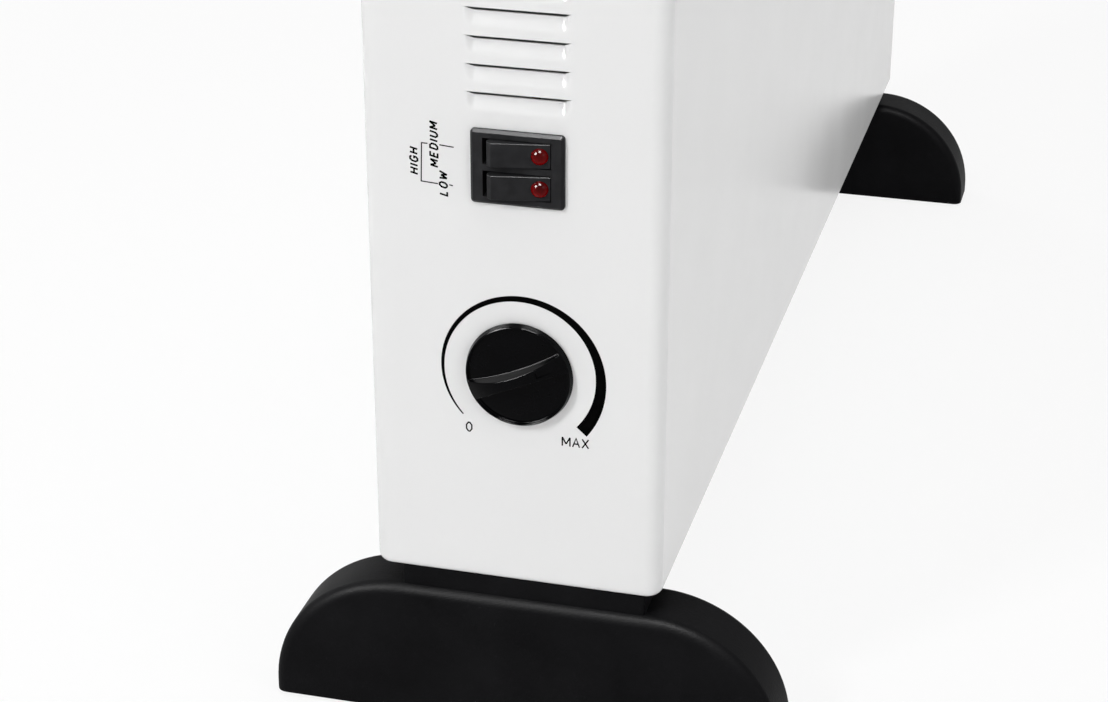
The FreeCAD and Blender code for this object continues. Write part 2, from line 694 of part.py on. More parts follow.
def knob_point(outward, radius=0.0):
    """Point on the knob's axis, measured outward from the end panel, raised by a radius."""
    return Vector(CONTROL_X - outward, 0, KNOB_Z + radius)


def turned_about_knob(outline):
    """Solid of revolution about the knob's axis from a closed wire."""
    return Part.Face(outline).revolve(knob_point(0), X_AXIS, 360)


def polyline(points):
    """Straight edges through points."""
    return [Part.LineSegment(a, b).toShape() for a, b in zip(points, points[1:])]


def cap_height(radius, rim, low, high):
    """Height of a domed cap at a distance from its axis, from its rim's radius and its heights there and on the axis."""
    rise = high - low
    ball = (rim ** 2 + rise ** 2) / (2 * rise)
    return high - ball + math.sqrt(ball ** 2 - radius ** 2)


def knob_dome(radius):
    """Height of the knob's domed face above the end panel, at a distance from its axis."""
    return cap_height(radius, KNOB_RIM_DIAMETER / 2, KNOB_RIM_HEIGHT, KNOB_CREST_HEIGHT)


def knob_blank():
    """Tapered disc with a domed face."""
    base, rim = KNOB_DIAMETER / 2, KNOB_RIM_DIAMETER / 2
    half_way = knob_point(knob_dome(rim / 2), rim / 2)
    edges = polyline([knob_point(KNOB_CREST_HEIGHT), knob_point(KNOB_GAP), knob_point(KNOB_GAP, base),
                      knob_point(KNOB_RIM_HEIGHT, rim)])
    edges.append(Part.Arc(knob_point(KNOB_RIM_HEIGHT, rim), half_way, knob_point(KNOB_CREST_HEIGHT)).toShape())
    return turned_about_knob(Part.Wire(edges))


def knob_bowl():
    """Space inside the rim over a gently domed floor, from which the finger hollows are taken."""
    wall = KNOB_RIM_DIAMETER / 2 - KNOB_RIM_LAND
    top = KNOB_CREST_HEIGHT + KNOB_GAP
    middle, edge = knob_point(KNOB_FLOOR_HEIGHT), knob_point(KNOB_FLOOR_EDGE, wall)
    half_way = knob_point(cap_height(wall / 2, wall, KNOB_FLOOR_EDGE, KNOB_FLOOR_HEIGHT), wall / 2)
    edges = polyline([edge, knob_point(top, wall), knob_point(top), middle])
    edges.append(Part.Arc(middle, half_way, edge).toShape())
    return turned_about_knob(Part.Wire(edges))


def knob_side(side):
    """Space on one side of the grip bar: a wide cone, which hollows the bar's flank to a waist and leans it in."""
    height = KNOB_CREST_HEIGHT + KNOB_GAP
    centre = knob_point(0, side * (KNOB_WAIST_RADIUS + KNOB_WAIST / 2))
    return Part.makeCone(KNOB_WAIST_RADIUS - KNOB_FLANK_LEAN, KNOB_WAIST_RADIUS, height, centre, -X_AXIS)


def pointer_groove():
    """Cutter for the pointer, sunk in the grip bar and running out towards the rim."""
    top = KNOB_CREST_HEIGHT + KNOB_GAP
    section = ((knob_dome(POINTER_START) - POINTER_DEPTH, POINTER_START), (knob_dome(POINTER_END), POINTER_END),
               (top, POINTER_END), (top, POINTER_START))
    corners = [(CONTROL_X - height, -radius, KNOB_Z - POINTER_WIDTH / 2) for height, radius in section]
    return prism(corners, (0, 0, POINTER_WIDTH))


def thermostat_knob():
    """Knob with two finger hollows that leave a grip bar, a pointer groove and a hub for the D spindle."""
    knob = knob_blank()
    bowl = knob_bowl()
    knob = knob.cut([bowl.common(knob_side(side)) for side in (-1, 1)])
    front_edges = [edge for edge in knob.Edges if CONTROL_X - edge.BoundBox.XMax > KNOB_GAP + FIT]
    knob = knob.makeFillet(KNOB_EDGE_RADIUS, front_edges)
    hub = rod(HUB_OUTSIDE, knob_point(KNOB_FLOOR_EDGE), knob_point(-HUB_REACH))
    knob = joined([knob.cut(pointer_groove()), hub]).cut(spindle_shape(RUN))
    knob.rotate(knob_point(0), X_AXIS, -KNOB_POINTER_ANGLE)
    return knob


def spindle_shape(grow):
    """D-ended spindle along the knob's axis, grown by a clearance; its flat faces up before it is turned."""
    tip = KNOB_FLOOR_HEIGHT - KNOB_ROOF + grow
    inner = THERMOSTAT_STANDOFF + BRACKET_SHEET + SPINDLE_INSET
    bar = rod(SPINDLE_DIAMETER + 2 * grow, knob_point(tip), knob_point(-inner))
    flat_z = KNOB_Z + SPINDLE_DIAMETER / 2 - SPINDLE_FLAT + grow
    flat = box(CONTROL_X - tip - SPINDLE_DIAMETER, CONTROL_X + HUB_REACH, -SPINDLE_DIAMETER, SPINDLE_DIAMETER,
               flat_z, flat_z + SPINDLE_DIAMETER)
    return bar.cut(flat)


def thermostat_spindle():
    """Steel spindle between the knob and the thermostat."""
    spindle = spindle_shape(0)
    spindle.rotate(knob_point(0), X_AXIS, -KNOB_POINTER_ANGLE)
    return spindle


def bracket_web_x():
    """Face of the thermostat bracket's web that looks at the end panel."""
    return CONTROL_X + THERMOSTAT_STANDOFF


def thermostat_bracket():
    """Hat-shaped bracket behind the end panel, with a tab above and below."""
    web_x = bracket_web_x()
    panel_x = CONTROL_X + SHEET
    half_width, half_span = BRACKET_WIDTH / 2, BRACKET_SPAN / 2
    pieces = [box(web_x, web_x + BRACKET_SHEET, -half_width, half_width, KNOB_Z - half_span, KNOB_Z + half_span)]
    for side in (-1, 1):
        edge = KNOB_Z + side * half_span
        leg = sorted((edge, edge - side * BRACKET_SHEET))
        tab = sorted((edge, edge + side * BRACKET_TAB))
        pieces.append(box(panel_x, web_x + BRACKET_SHEET, -half_width, half_width, *leg))
        pieces.append(box(panel_x, panel_x + BRACKET_SHEET, -half_width, half_width, *tab))
    hole = rod(NECK_THREAD_DIAMETER + 2 * FIT, (web_x - SHEET, 0, KNOB_Z), (web_x + 2 * BRACKET_SHEET, 0, KNOB_Z))
    return joined(pieces).cut(hole)


def thermostat_body():
    """Thermostat block behind the bracket, with the threaded neck that the spindle runs in."""
    front = bracket_web_x() + BRACKET_SHEET
    block = box(front, front + THERMOSTAT_DEPTH, -THERMOSTAT_WIDTH / 2, THERMOSTAT_WIDTH / 2,
                KNOB_Z - THERMOSTAT_HEIGHT / 2, KNOB_Z + THERMOSTAT_HEIGHT / 2)
    neck = rod(NECK_THREAD_DIAMETER, (front - BRACKET_SHEET - NUT_THICKNESS - FIT, 0, KNOB_Z), (front, 0, KNOB_Z))
    bore = rod(SPINDLE_DIAMETER + 2 * RUN, (CONTROL_X, 0, KNOB_Z), (front + SPINDLE_INSET + DROP_IN, 0, KNOB_Z))
    return joined([block, neck]).cut(bore)


def thermostat_nut():
    """Hexagon nut on the thermostat's neck, tight against the bracket."""
    x0 = bracket_web_x() - NUT_THICKNESS
    corner = NUT_ACROSS_FLATS / math.sqrt(3)
    points = [(x0, corner * math.cos(math.radians(60 * i)), KNOB_Z + corner * math.sin(math.radians(60 * i)))
              for i in range(6)]
    bore = rod(NECK_THREAD_DIAMETER + 2 * RUN, (x0 - NUT_THICKNESS, 0, KNOB_Z), (bracket_web_x(), 0, KNOB_Z))
    return prism(points, (NUT_THICKNESS, 0, 0)).cut(bore)


def thermostat_blade():
    """Bimetal blade that stands on top of the thermostat block on its foot."""
    x0 = bracket_web_x() + BRACKET_SHEET + THERMOSTAT_DEPTH / 2
    z0 = KNOB_Z + THERMOSTAT_HEIGHT / 2
    foot = box(x0, x0 + BLADE_WIDTH, -BLADE_WIDTH / 2, BLADE_WIDTH / 2, z0, z0 + BLADE_THICKNESS)
    blade = box(x0, x0 + BLADE_THICKNESS, -BLADE_WIDTH / 2, BLADE_WIDTH / 2, z0, z0 + BLADE_LENGTH)
    return joined([foot, blade])


def lead_ends():
    """Y and Z of the leads from the switch to the terminal block."""
    return [(i * SPADE_SPACING, z) for z in rocker_heights() for i in (-1, 1)]


def terminal_block():
    """Ceramic block on the control bulkhead, behind the switch, bored for the leads and their clamp screws."""
    front = BULKHEAD_X - TERMINAL_BLOCK_DEPTH
    half_height = TERMINAL_BLOCK_HEIGHT / 2
    block = box(front, BULKHEAD_X, -TERMINAL_BLOCK_WIDTH / 2, TERMINAL_BLOCK_WIDTH / 2, SWITCH_Z - half_height,
                SWITCH_Z + half_height)
    well_x = front + TERMINAL_BORE_DEPTH / 2
    cutters = []
    for y, z in lead_ends():
        outside = SWITCH_Z + math.copysign(half_height + SHEET, z - SWITCH_Z)
        cutters.append(rod(LEAD_DIAMETER + 2 * FIT, (front - SHEET, y, z), (front + TERMINAL_BORE_DEPTH, y, z)))
        cutters.append(rod(TERMINAL_SCREW_WELL, (well_x, y, z), (well_x, y, outside)))
    return block.cut(cutters)


def internal_leads():
    """Insulated leads from the switch's spades straight back into the terminal block."""
    x0 = CONTROL_X + SWITCH_BODY_DEPTH + SPADE_LENGTH
    x1 = BULKHEAD_X - TERMINAL_BLOCK_DEPTH + TERMINAL_BORE_DEPTH
    return Part.makeCompound([rod(LEAD_DIAMETER, (x0, y, z), (x1, y, z)) for y, z in lead_ends()])


def thermal_cutout():
    """Disc cut-out on its strap, on the hot side of the control bulkhead above the elements."""
    x0 = BULKHEAD_X + BULKHEAD_SHEET
    z = element_heights()[1] + ELEMENT_SPACING
    strap = box(x0, x0 + CUTOUT_FLANGE_THICKNESS, MIDDLE_Y - CUTOUT_FLANGE_LENGTH / 2,
                MIDDLE_Y + CUTOUT_FLANGE_LENGTH / 2, z - CUTOUT_DIAMETER / 4, z + CUTOUT_DIAMETER / 4)
    disc = rod(CUTOUT_DIAMETER, (x0, MIDDLE_Y, z), (x0 + CUTOUT_HEIGHT, MIDDLE_Y, z))
    return joined([strap, disc])


def gland_point(outward):
    """Point on the cord gland's axis, measured outward from the rear rim's outer face."""
    return Vector(CONTROL_X + GLAND_DEPTH, REAR_Y + outward, BOTTOM_Z + GLAND_HEIGHT)


def cord_gland():
    """Flanged bush through the rear panel, bored for a mains lead."""
    flange = rod(GLAND_FLANGE, gland_point(SHEET), gland_point(SHEET + GLAND_FLANGE_THICKNESS))
    barrel = rod(GLAND_DIAMETER, gland_point(SHEET), gland_point(SHEET + GLAND_FLANGE_THICKNESS - GLAND_LENGTH))
    bore = rod(GLAND_BORE, gland_point(GLAND_LENGTH), gland_point(-2 * GLAND_LENGTH))
    return joined([flange, barrel]).cut(bore)


def foot_outline(x, inset, bottom):
    """Side view of a foot at a given x: flat top, quarter-round shoulders, straight ends; drawn in by inset."""
    flat = FOOT_FLAT_LENGTH / 2
    radius = FOOT_CORNER_RADIUS - inset
    top, spring = FOOT_TOP - inset, FOOT_TOP - FOOT_CORNER_RADIUS
    reach = flat + radius
    slant = radius * math.sqrt(0.5)
    right = [Vector(x, flat, top), Vector(x, flat + slant, spring + slant), Vector(x, reach, spring)]
    left = [Vector(x, -reach, spring), Vector(x, -flat - slant, spring + slant), Vector(x, -flat, top)]
    corners = [Vector(x, reach, bottom), Vector(x, -reach, bottom)]
    edges = [
        Part.LineSegment(left[-1], right[0]).toShape(),
        Part.Arc(*right).toShape(),
        Part.LineSegment(right[-1], corners[0]).toShape(),
        Part.LineSegment(*corners).toShape(),
        Part.LineSegment(corners[1], left[0]).toShape(),
        Part.Arc(*left).toShape(),
    ]
    return Part.Face(Part.Wire(edges))


def pad_places(end):
    """X and Y of the two pads under a foot."""
    reach = FOOT_FLAT_LENGTH / 2 + FOOT_CORNER_RADIUS - PAD_INSET
    return [(foot_centre_x(end), side * reach) for side in (-1, 1)]


def foot(end):
    """Moulded foot, hollow below, with ribs, screw bosses, pad lands and the neck under the casing."""
    face = CONTROL_X if end < 0 else FAR_X
    outer_x, inner_x = face + end * FOOT_PROUD, face + end * (FOOT_PROUD - FOOT_THICKNESS)
    x0, x1 = sorted((outer_x, inner_x))
    block = foot_outline(x0, 0, PAD_HEIGHT).extrude(X_AXIS * FOOT_THICKNESS)
    crown = [edge for edge in block.Edges
             if edge.BoundBox.XLength < 1e-6 and edge.BoundBox.ZMax > FOOT_TOP - FOOT_CORNER_RADIUS + 1e-6]
    block = block.makeFillet(FOOT_EDGE_RADIUS, crown)
    hollow = foot_outline(x0 + FOOT_WALL, FOOT_WALL, 0).extrude(X_AXIS * (FOOT_THICKNESS - 2 * FOOT_WALL))
    keep = []
    centre = foot_centre_x(end)
    for y in spread(-FOOT_FLAT_LENGTH / 2, FOOT_FLAT_LENGTH / 2, 4):
        keep.append(box(x0, x1, y - FOOT_RIB / 2, y + FOOT_RIB / 2, 3 * PAD_HEIGHT, FOOT_TOP))
    for x, y in pad_places(end):
        keep.append(box(x0, x1, y - PAD_DIAMETER / 2, y + PAD_DIAMETER / 2, PAD_HEIGHT, 3 * PAD_HEIGHT))
    for side in (-1, 1):
        y = side * FOOT_SCREW_SPACING / 2
        keep.append(rod(FOOT_BOSS_DIAMETER, (centre, y, FOOT_TOP - 2 * FOOT_SCREW_SEAT), (centre, y, FOOT_TOP)))
    hollow = hollow.cut(keep)
    half_neck = BODY_DEPTH / 2 - NECK_INSET
    neck_x = sorted((face - end * NECK_RECESS, face - end * (FOOT_THICKNESS - FOOT_PROUD - NECK_RECESS)))
    neck = box(*neck_x, -half_neck, half_neck, FOOT_TOP - FOOT_WALL, BOTTOM_Z)
    neck = neck.makeFillet(NECK_CORNER_RADIUS, along_edges(neck, Z_AXIS))
    cutters = []
    for side in (-1, 1):
        y = side * FOOT_SCREW_SPACING / 2
        ground = (centre, y, 0)
        cutters.append(rod(FOOT_SCREW_DIAMETER + 2 * FIT, ground, (centre, y, BOTTOM_Z + NECK_HEIGHT)))
        cutters.append(rod(FOOT_SCREW_HEAD_DIAMETER + 2 * FIT, ground, (centre, y, FOOT_TOP - FOOT_SCREW_SEAT)))
    return joined([block.cut(hollow), neck]).cut(cutters).removeSplitter()


def foot_pads():
    """Rubber pads under the ends of both feet."""
    return Part.makeCompound([rod(PAD_DIAMETER, (x, y, 0), (x, y, PAD_HEIGHT))
                              for end in (-1, 1) for x, y in pad_places(end)])


def foot_screws():
    """Screws up through the feet into the plates inside the casing."""
    length = FOOT_SCREW_SEAT + NECK_HEIGHT + SHEET + FOOT_PLATE + SHEET
    return Part.makeCompound([
        pan_head_screw((x, y, FOOT_TOP - FOOT_SCREW_SEAT), (0, 0, 1), length, FOOT_SCREW_DIAMETER,
                       FOOT_SCREW_HEAD_DIAMETER, FOOT_SCREW_HEAD_HEIGHT)
        for x, y in foot_screw_places()])


def foot_plates():
    """Steel plates on the casing's bottom, tapped for the foot screws."""
    plates = []
    half_width = (FOOT_THICKNESS - 2 * FOOT_PROUD - 4 * SHEET) / 2 - BEND_RADIUS / 2
    half_length = FOOT_SCREW_SPACING / 2 + FOOT_SCREW_HEAD_DIAMETER
    z0 = BOTTOM_Z + SHEET
    for end in (-1, 1):
        x = foot_centre_x(end)
        plate = box(x - half_width, x + half_width, -half_length, half_length, z0, z0 + FOOT_PLATE)
        holes = [rod(FOOT_SCREW_DIAMETER + 2 * RUN, (x, side * FOOT_SCREW_SPACING / 2, BOTTOM_Z),
                     (x, side * FOOT_SCREW_SPACING / 2, z0 + 2 * FOOT_PLATE)) for side in (-1, 1)]
        plates.append(plate.cut(holes))
    return Part.makeCompound(plates)


def all_parts():
    """Every piece by its node's name."""
    low_z, high_z = element_heights()
    lower, upper = rocker_heights()
    return {
        "casing_wrap": casing_wrap(),
        "rear_panel": rear_panel(),
        "rear_panel_screws": rear_panel_screws(),
        "top_grille": top_grille(),
        "bottom_grille": bottom_grille(),
        "control_bulkhead": control_bulkhead(),
        "far_bulkhead": far_bulkhead(),
        "bulkhead_screws": bulkhead_screws(),
        "front_heat_shield": front_heat_shield(),
        "rear_heat_shield": rear_heat_shield(),
        "heater_fins_low": heater_fins(low_z, FIN_REACH_LOW),
        "heater_fins_high": heater_fins(high_z, FIN_REACH_HIGH),
        "heater_rod_low": heater_rod(low_z),
        "heater_rod_high": heater_rod(high_z),
        "element_bushes": element_bushes(),
        "switch_housing": switch_housing(),
        "switch_terminals": switch_terminals(),
        "rocker_low": rocker(lower),
        "rocker_high": rocker(upper),
        "lens_low": lens(lower),
        "lens_high": lens(upper),
        "thermostat_knob": thermostat_knob(),
        "thermostat_spindle": thermostat_spindle(),
        "thermostat_bracket": thermostat_bracket(),
        "thermostat_body": thermostat_body(),
        "thermostat_nut": thermostat_nut(),
        "thermostat_blade": thermostat_blade(),
        "terminal_block": terminal_block(),
        "internal_leads": internal_leads(),
        "thermal_cutout": thermal_cutout(),
        "cord_gland": cord_gland(),
        "foot_control_end": foot(-1),
        "foot_far_end": foot(1),
        "foot_pads": foot_pads(),
        "foot_screws": foot_screws(),
        "foot_plates": foot_plates(),
    }


os.makedirs("parts", exist_ok=True)
for name, shape in all_parts().items():
    if not shape.isValid():
        raise ValueError("invalid solid: " + name)
    shape.exportStep(os.path.join("parts", name + ".step"))
    print(name, len(shape.Solids), round(shape.Volume))
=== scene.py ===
"""Looks of a free-standing convector heater: casing, louvres, controls, print, finishes and stage."""
import math

import bmesh
import bpy
from bpy.props import FloatProperty, FloatVectorProperty, IntProperty, PointerProperty
from mathutils import Matrix, Vector


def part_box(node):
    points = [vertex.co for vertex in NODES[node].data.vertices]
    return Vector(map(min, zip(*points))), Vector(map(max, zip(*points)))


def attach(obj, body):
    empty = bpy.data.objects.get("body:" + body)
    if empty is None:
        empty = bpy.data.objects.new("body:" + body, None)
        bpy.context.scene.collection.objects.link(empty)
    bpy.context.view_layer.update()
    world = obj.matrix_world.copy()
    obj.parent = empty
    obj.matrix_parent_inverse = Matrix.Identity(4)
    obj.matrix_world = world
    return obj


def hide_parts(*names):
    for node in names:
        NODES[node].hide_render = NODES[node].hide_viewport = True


bl_info = {
    "name": "Convector heater looks",
    "version": (1, 0, 0),
    "blender": (4, 5, 0),
    "location": "View3D > Sidebar > Heater",
    "description": "Dresses the packed heater with its sheet-metal skin, mouldings, print and a studio stage",
    "category": "Object",
}

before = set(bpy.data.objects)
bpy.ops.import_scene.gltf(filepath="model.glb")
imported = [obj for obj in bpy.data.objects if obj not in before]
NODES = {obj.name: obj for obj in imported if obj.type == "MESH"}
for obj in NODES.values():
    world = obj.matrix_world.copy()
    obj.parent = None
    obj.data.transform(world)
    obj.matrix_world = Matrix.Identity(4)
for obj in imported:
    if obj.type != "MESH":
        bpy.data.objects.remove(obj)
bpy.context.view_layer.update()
MM = 0.001
HEATER, KNOB, LOW_ROCKER, HIGH_ROCKER = "heater", "knob", "low_rocker", "high_rocker"

# Small sizes of the sheet-metal and moulded detail, in metres
GRILLE_LAP = 5.0 * MM
BEZEL_LAP = 1.3 * MM
KNOB_HOLE = 13.0 * MM
CAD_LOUVRE_RISE = 2.2 * MM
LOUVRE_MARGIN = 2.2 * MM
REAR_RIM = 12.8 * MM
REAR_END_RIM = 26.0 * MM
SHEET = 0.8 * MM
SMALLEST_BEND = 0.3 * MM
WELD = 0.002 * MM
PRINT_THICKNESS = 0.06 * MM

# Fineness of the meshes
BEND_STEPS = 10
DIAL_STEPS = 160
LOUVRE_COLUMNS = 97
LOUVRE_ROWS = 23

# Angles from which an edge is shaded sharp, and how far large faces decide the shading
SHARP_EDGE = math.radians(32)
SHARP_SHEET = math.radians(40)
SHARP_KNOB = math.radians(50)
SHARP_LENS = math.radians(60)
FACE_WEIGHT = 90

# Half the floor's width and the distances over which it fades into the white surround, in metres
FLOOR_REACH = 6.0
FADE_START = 0.9
FADE_END = 3.0

# Colour of the surround, and the width of the camera's sensor in millimetres
WHITE = (1.0, 1.0, 1.0, 1.0)
SENSOR_WIDTH = 36.0


def middle(node):
    """Middle of a CAD node's box."""
    low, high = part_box(node)
    return (low + high) / 2


SWITCH_CENTRE = middle("switch_housing")
KNOB_CENTRE = middle("thermostat_knob")


class HeaterCasingSettings(bpy.types.PropertyGroup):
    """Folds of the sheet casing and the louvres stamped in its ends"""

    bend_radius: FloatProperty(name="Bend radius", default=6.0 * MM, unit="LENGTH", precision=4,
                               description="Upright bends between the front, rear and ends")
    edge_radius: FloatProperty(name="Edge radius", default=3.0 * MM, unit="LENGTH", precision=4,
                               description="Folds round the top and bottom")
    louvre_count: IntProperty(name="Louvres", default=7, min=1, description="Louvres in each end panel")
    louvre_length: FloatProperty(name="Louvre length", default=35.5 * MM, unit="LENGTH", precision=4,
                                 description="Length of a louvre's slot")
    louvre_drop: FloatProperty(name="Louvre drop", default=7.0 * MM, unit="LENGTH", precision=4,
                               description="Height over which a louvre fades out")
    louvre_ends: FloatProperty(name="Louvre ends", default=3.4 * MM, unit="LENGTH", precision=4,
                               description="Length over which a louvre fades out at its ends")
    louvre_depth: FloatProperty(name="Louvre depth", default=1.8 * MM, unit="LENGTH", precision=4,
                                description="How far a louvre's lip is pressed into the panel")
    louvre_gap: FloatProperty(name="Louvre gap", default=1.35 * MM, unit="LENGTH", precision=4,
                              description="How far a louvre's lip is pressed down from its slot")
    louvre_pitch: FloatProperty(name="Louvre pitch", default=9.3 * MM, unit="LENGTH", precision=4,
                                description="Distance from one slot to the next")
    louvre_first: FloatProperty(name="First louvre", default=177.5 * MM, unit="LENGTH", precision=4,
                                description="Height of the lowest slot above the casing's bottom")


class HeaterFinishSettings(bpy.types.PropertyGroup):
    """Main colours of the heater"""

    paint: FloatVectorProperty(name="Paint", default=(0.83, 0.83, 0.83, 1), subtype="COLOR", size=4,
                               min=0, max=1, description="Powder coat on the casing")
    foot: FloatVectorProperty(name="Feet", default=(0.004, 0.004, 0.0045, 1), subtype="COLOR", size=4,
                              min=0, max=1, description="Grained moulding of the feet")
    switch: FloatVectorProperty(name="Switch", default=(0.0075, 0.0075, 0.0085, 1), subtype="COLOR", size=4,
                                min=0, max=1, description="Satin moulding of the switch")
    knob: FloatVectorProperty(name="Knob", default=(0.0009, 0.0009, 0.0012, 1), subtype="COLOR", size=4,
                              min=0, max=1, description="Gloss moulding of the knob")
    lens: FloatVectorProperty(name="Lenses", default=(0.13, 0.0004, 0.0008, 1), subtype="COLOR", size=4,
                              min=0, max=1, description="Red of the rockers' lenses")
    ink: FloatVectorProperty(name="Print", default=(0.0015, 0.0015, 0.0015, 1), subtype="COLOR", size=4,
                             min=0, max=1, description="Ink of the dial and the switch markings")


class HeaterPrintSettings(bpy.types.PropertyGroup):
    """Dial and words printed on the end panel"""

    dial_radius: FloatProperty(name="Dial radius", default=26.1 * MM, unit="LENGTH", precision=4,
                               description="Inner radius of the printed arc")
    dial_thin: FloatProperty(name="Thin end", default=0.45 * MM, unit="LENGTH", precision=4,
                             description="Width of the arc at its cold end")
    dial_thick: FloatProperty(name="Thick end", default=4.7 * MM, unit="LENGTH", precision=4,
                              description="Width of the arc at its hot end")
    dial_start: FloatProperty(name="Cold end", default=math.radians(221.3), unit="ROTATION",
                              description="Direction of the arc's thin end from the knob")
    dial_end: FloatProperty(name="Hot end", default=math.radians(-41.5), unit="ROTATION",
                            description="Direction of the arc's thick end from the knob")
    dial_letters: FloatProperty(name="Dial letters", default=3.3 * MM, unit="LENGTH", precision=4,
                                description="Height of the letters under the dial")
    switch_letters: FloatProperty(name="Switch letters", default=2.5 * MM, unit="LENGTH", precision=4,
                                  description="Height of the words beside the switch")
    line_width: FloatProperty(name="Lines", default=0.38 * MM, unit="LENGTH", precision=4,
                              description="Width of the lines between the words")


class HeaterStageSettings(bpy.types.PropertyGroup):
    """Camera, lamps and floor"""

    camera_place: FloatVectorProperty(name="Camera", default=(-0.9988, -0.2050, 0.5027), unit="LENGTH",
                                      subtype="TRANSLATION", description="Where the camera stands")
    camera_aim: FloatVectorProperty(name="Aim", default=(-0.2768, -0.0118, 0.1499), unit="LENGTH",
                                    subtype="TRANSLATION", description="Point in the middle of the picture")
    lens: FloatProperty(name="Lens", default=81.6, unit="CAMERA",
                        description="Focal length in millimetres on a 36 mm sensor")
    floor: FloatVectorProperty(name="Floor", default=(0.9, 0.9, 0.9, 1), subtype="COLOR", size=4,
                               min=0, max=1, description="Colour of the pale floor")
    ambient: FloatProperty(name="Ambient", default=0.38,
                           description="Strength of the even light from all round")
    top: FloatProperty(name="Top lamp", default=18.5, unit="POWER",
                       description="Power of the large lamp overhead")
    key: FloatProperty(name="Key lamp", default=15.0, unit="POWER",
                       description="Power of the small lamp at the upper left")
    fill: FloatProperty(name="Fill lamps", default=9.0, unit="POWER",
                        description="Power of the soft lamps at the right and behind")
    sheen: FloatProperty(name="Sheen lamps", default=160.0, unit="POWER",
                         description="Power of the two lamps that show only as lights on gloss")
    lift: FloatProperty(name="Lift", default=0.86, subtype="FACTOR", min=0, max=1,
                        description="How far the floor is lifted to white where it is seen")


def settings(group):
    """One of the heater's property groups on the scene."""
    return getattr(bpy.context.scene, "heater_" + group)


# Building nodes

# Numbers of the sockets of a colour mix and a shader mix, whose names repeat
MIX_FACTOR, MIX_LOW, MIX_HIGH, MIX_RESULT = 0, 6, 7, 2
SHADER_FACTOR, SHADER_LOW, SHADER_HIGH = 0, 1, 2

# Type of a group's input, by the type of its default
SOCKET_TYPES = {float: "NodeSocketFloat", int: "NodeSocketInt", tuple: "NodeSocketVector",
                type(None): "NodeSocketMaterial"}

# Scale of the noise in the grain, as a share of its cells' scale
GRAIN_NOISE = 0.45


def feed(tree, socket, value):
    """Set an input to a plain value, or link it to an output or to a node's first output."""
    if isinstance(value, bpy.types.Node):
        value = value.outputs[0]
    if isinstance(value, bpy.types.NodeSocket):
        tree.links.new(value, socket)
    else:
        socket.default_value = value


def add_node(tree, kind, inputs=None, **values):
    """New node in a tree, with its properties set and its inputs, by name or number, set or linked."""
    node = tree.nodes.new(kind)
    for name, value in values.items():
        setattr(node, name, value)
    for key, value in (inputs or {}).items():
        feed(tree, node.inputs[key], value)
    return node


def spaced(values):
    """The same values, with the underscores of their names turned into spaces."""
    return {name.replace("_", " "): value for name, value in values.items()}


def calc(tree, operation, *values):
    """Output of a math node on plain values or other outputs."""
    return add_node(tree, "ShaderNodeMath", dict(enumerate(values)), operation=operation).outputs[0]


def object_place(tree):
    """Output with the place on the object."""
    return add_node(tree, "ShaderNodeTexCoord").outputs["Object"]


def open_group(name, kind, inputs, outputs, output_type="NodeSocketFloat"):
    """New node group with named sockets; returns the tree, its inputs by name and its output node."""
    tree = bpy.data.node_groups.new(name, kind)
    for label, default in inputs.items():
        socket = tree.interface.new_socket(label, in_out="INPUT", socket_type=SOCKET_TYPES[type(default)])
        if default is not None:
            socket.default_value = default
    for label in outputs:
        tree.interface.new_socket(label, in_out="OUTPUT", socket_type=output_type)
    entry = add_node(tree, "NodeGroupInput")
    leave = add_node(tree, "NodeGroupOutput")
    return tree, {socket.name: socket for socket in entry.outputs if socket.name}, leave


def cloud_group(name):
    """Slow uneven variation: a mask from 0 to 1 and the same thing between two values."""
    tree, given, leave = open_group(name, "ShaderNodeTree", {"Scale": 30.0, "Least": 0.3, "Most": 0.4},
                                    ("Mask", "Value"))
    noise = add_node(tree, "ShaderNodeTexNoise",
                     {"Vector": object_place(tree), "Scale": given["Scale"], "Detail": 4.0})
    spread = add_node(tree, "ShaderNodeMapRange",
                      {"Value": noise.outputs["Fac"], "From Min": 0.3, "From Max": 0.7})
    mask = spread.outputs["Result"]
    span = calc(tree, "SUBTRACT", given["Most"], given["Least"])
    feed(tree, leave.inputs["Mask"], mask)
    feed(tree, leave.inputs["Value"], calc(tree, "ADD", given["Least"], calc(tree, "MULTIPLY", span, mask)))
    return tree


def grain_group(name):
    """Fine moulded or sprayed grain as a height, with cells of a given size broken up by noise."""
    tree, given, leave = open_group(name, "ShaderNodeTree", {"Cell size": 0.4 * MM, "Unevenness": 0.5},
                                    ("Height",))
    place = object_place(tree)
    density = calc(tree, "DIVIDE", 1.0, given["Cell size"])
    cells = add_node(tree, "ShaderNodeTexVoronoi", {"Vector": place, "Scale": density}, feature="SMOOTH_F1")
    slower = calc(tree, "MULTIPLY", density, GRAIN_NOISE)
    noise = add_node(tree, "ShaderNodeTexNoise", {"Vector": place, "Scale": slower, "Detail": 3.0})
    rough = calc(tree, "MULTIPLY", noise.outputs["Fac"], given["Unevenness"])
    feed(tree, leave.inputs["Height"], calc(tree, "ADD", cells.outputs["Distance"], rough))
    return tree


def cell_group(name):
    """Cells of a given size, each with a brightness of its own, and the distance from their middles."""
    tree, given, leave = open_group(name, "ShaderNodeTree", {"Size": 5.0 * MM}, ("Mask", "Distance"))
    density = calc(tree, "DIVIDE", 1.0, given["Size"])
    cells = add_node(tree, "ShaderNodeTexVoronoi", {"Vector": object_place(tree), "Scale": density})
    parts = add_node(tree, "ShaderNodeSeparateColor", {"Color": cells.outputs["Color"]})
    feed(tree, leave.inputs["Mask"], parts.outputs["Red"])
    feed(tree, leave.inputs["Distance"], cells.outputs["Distance"])
    return tree


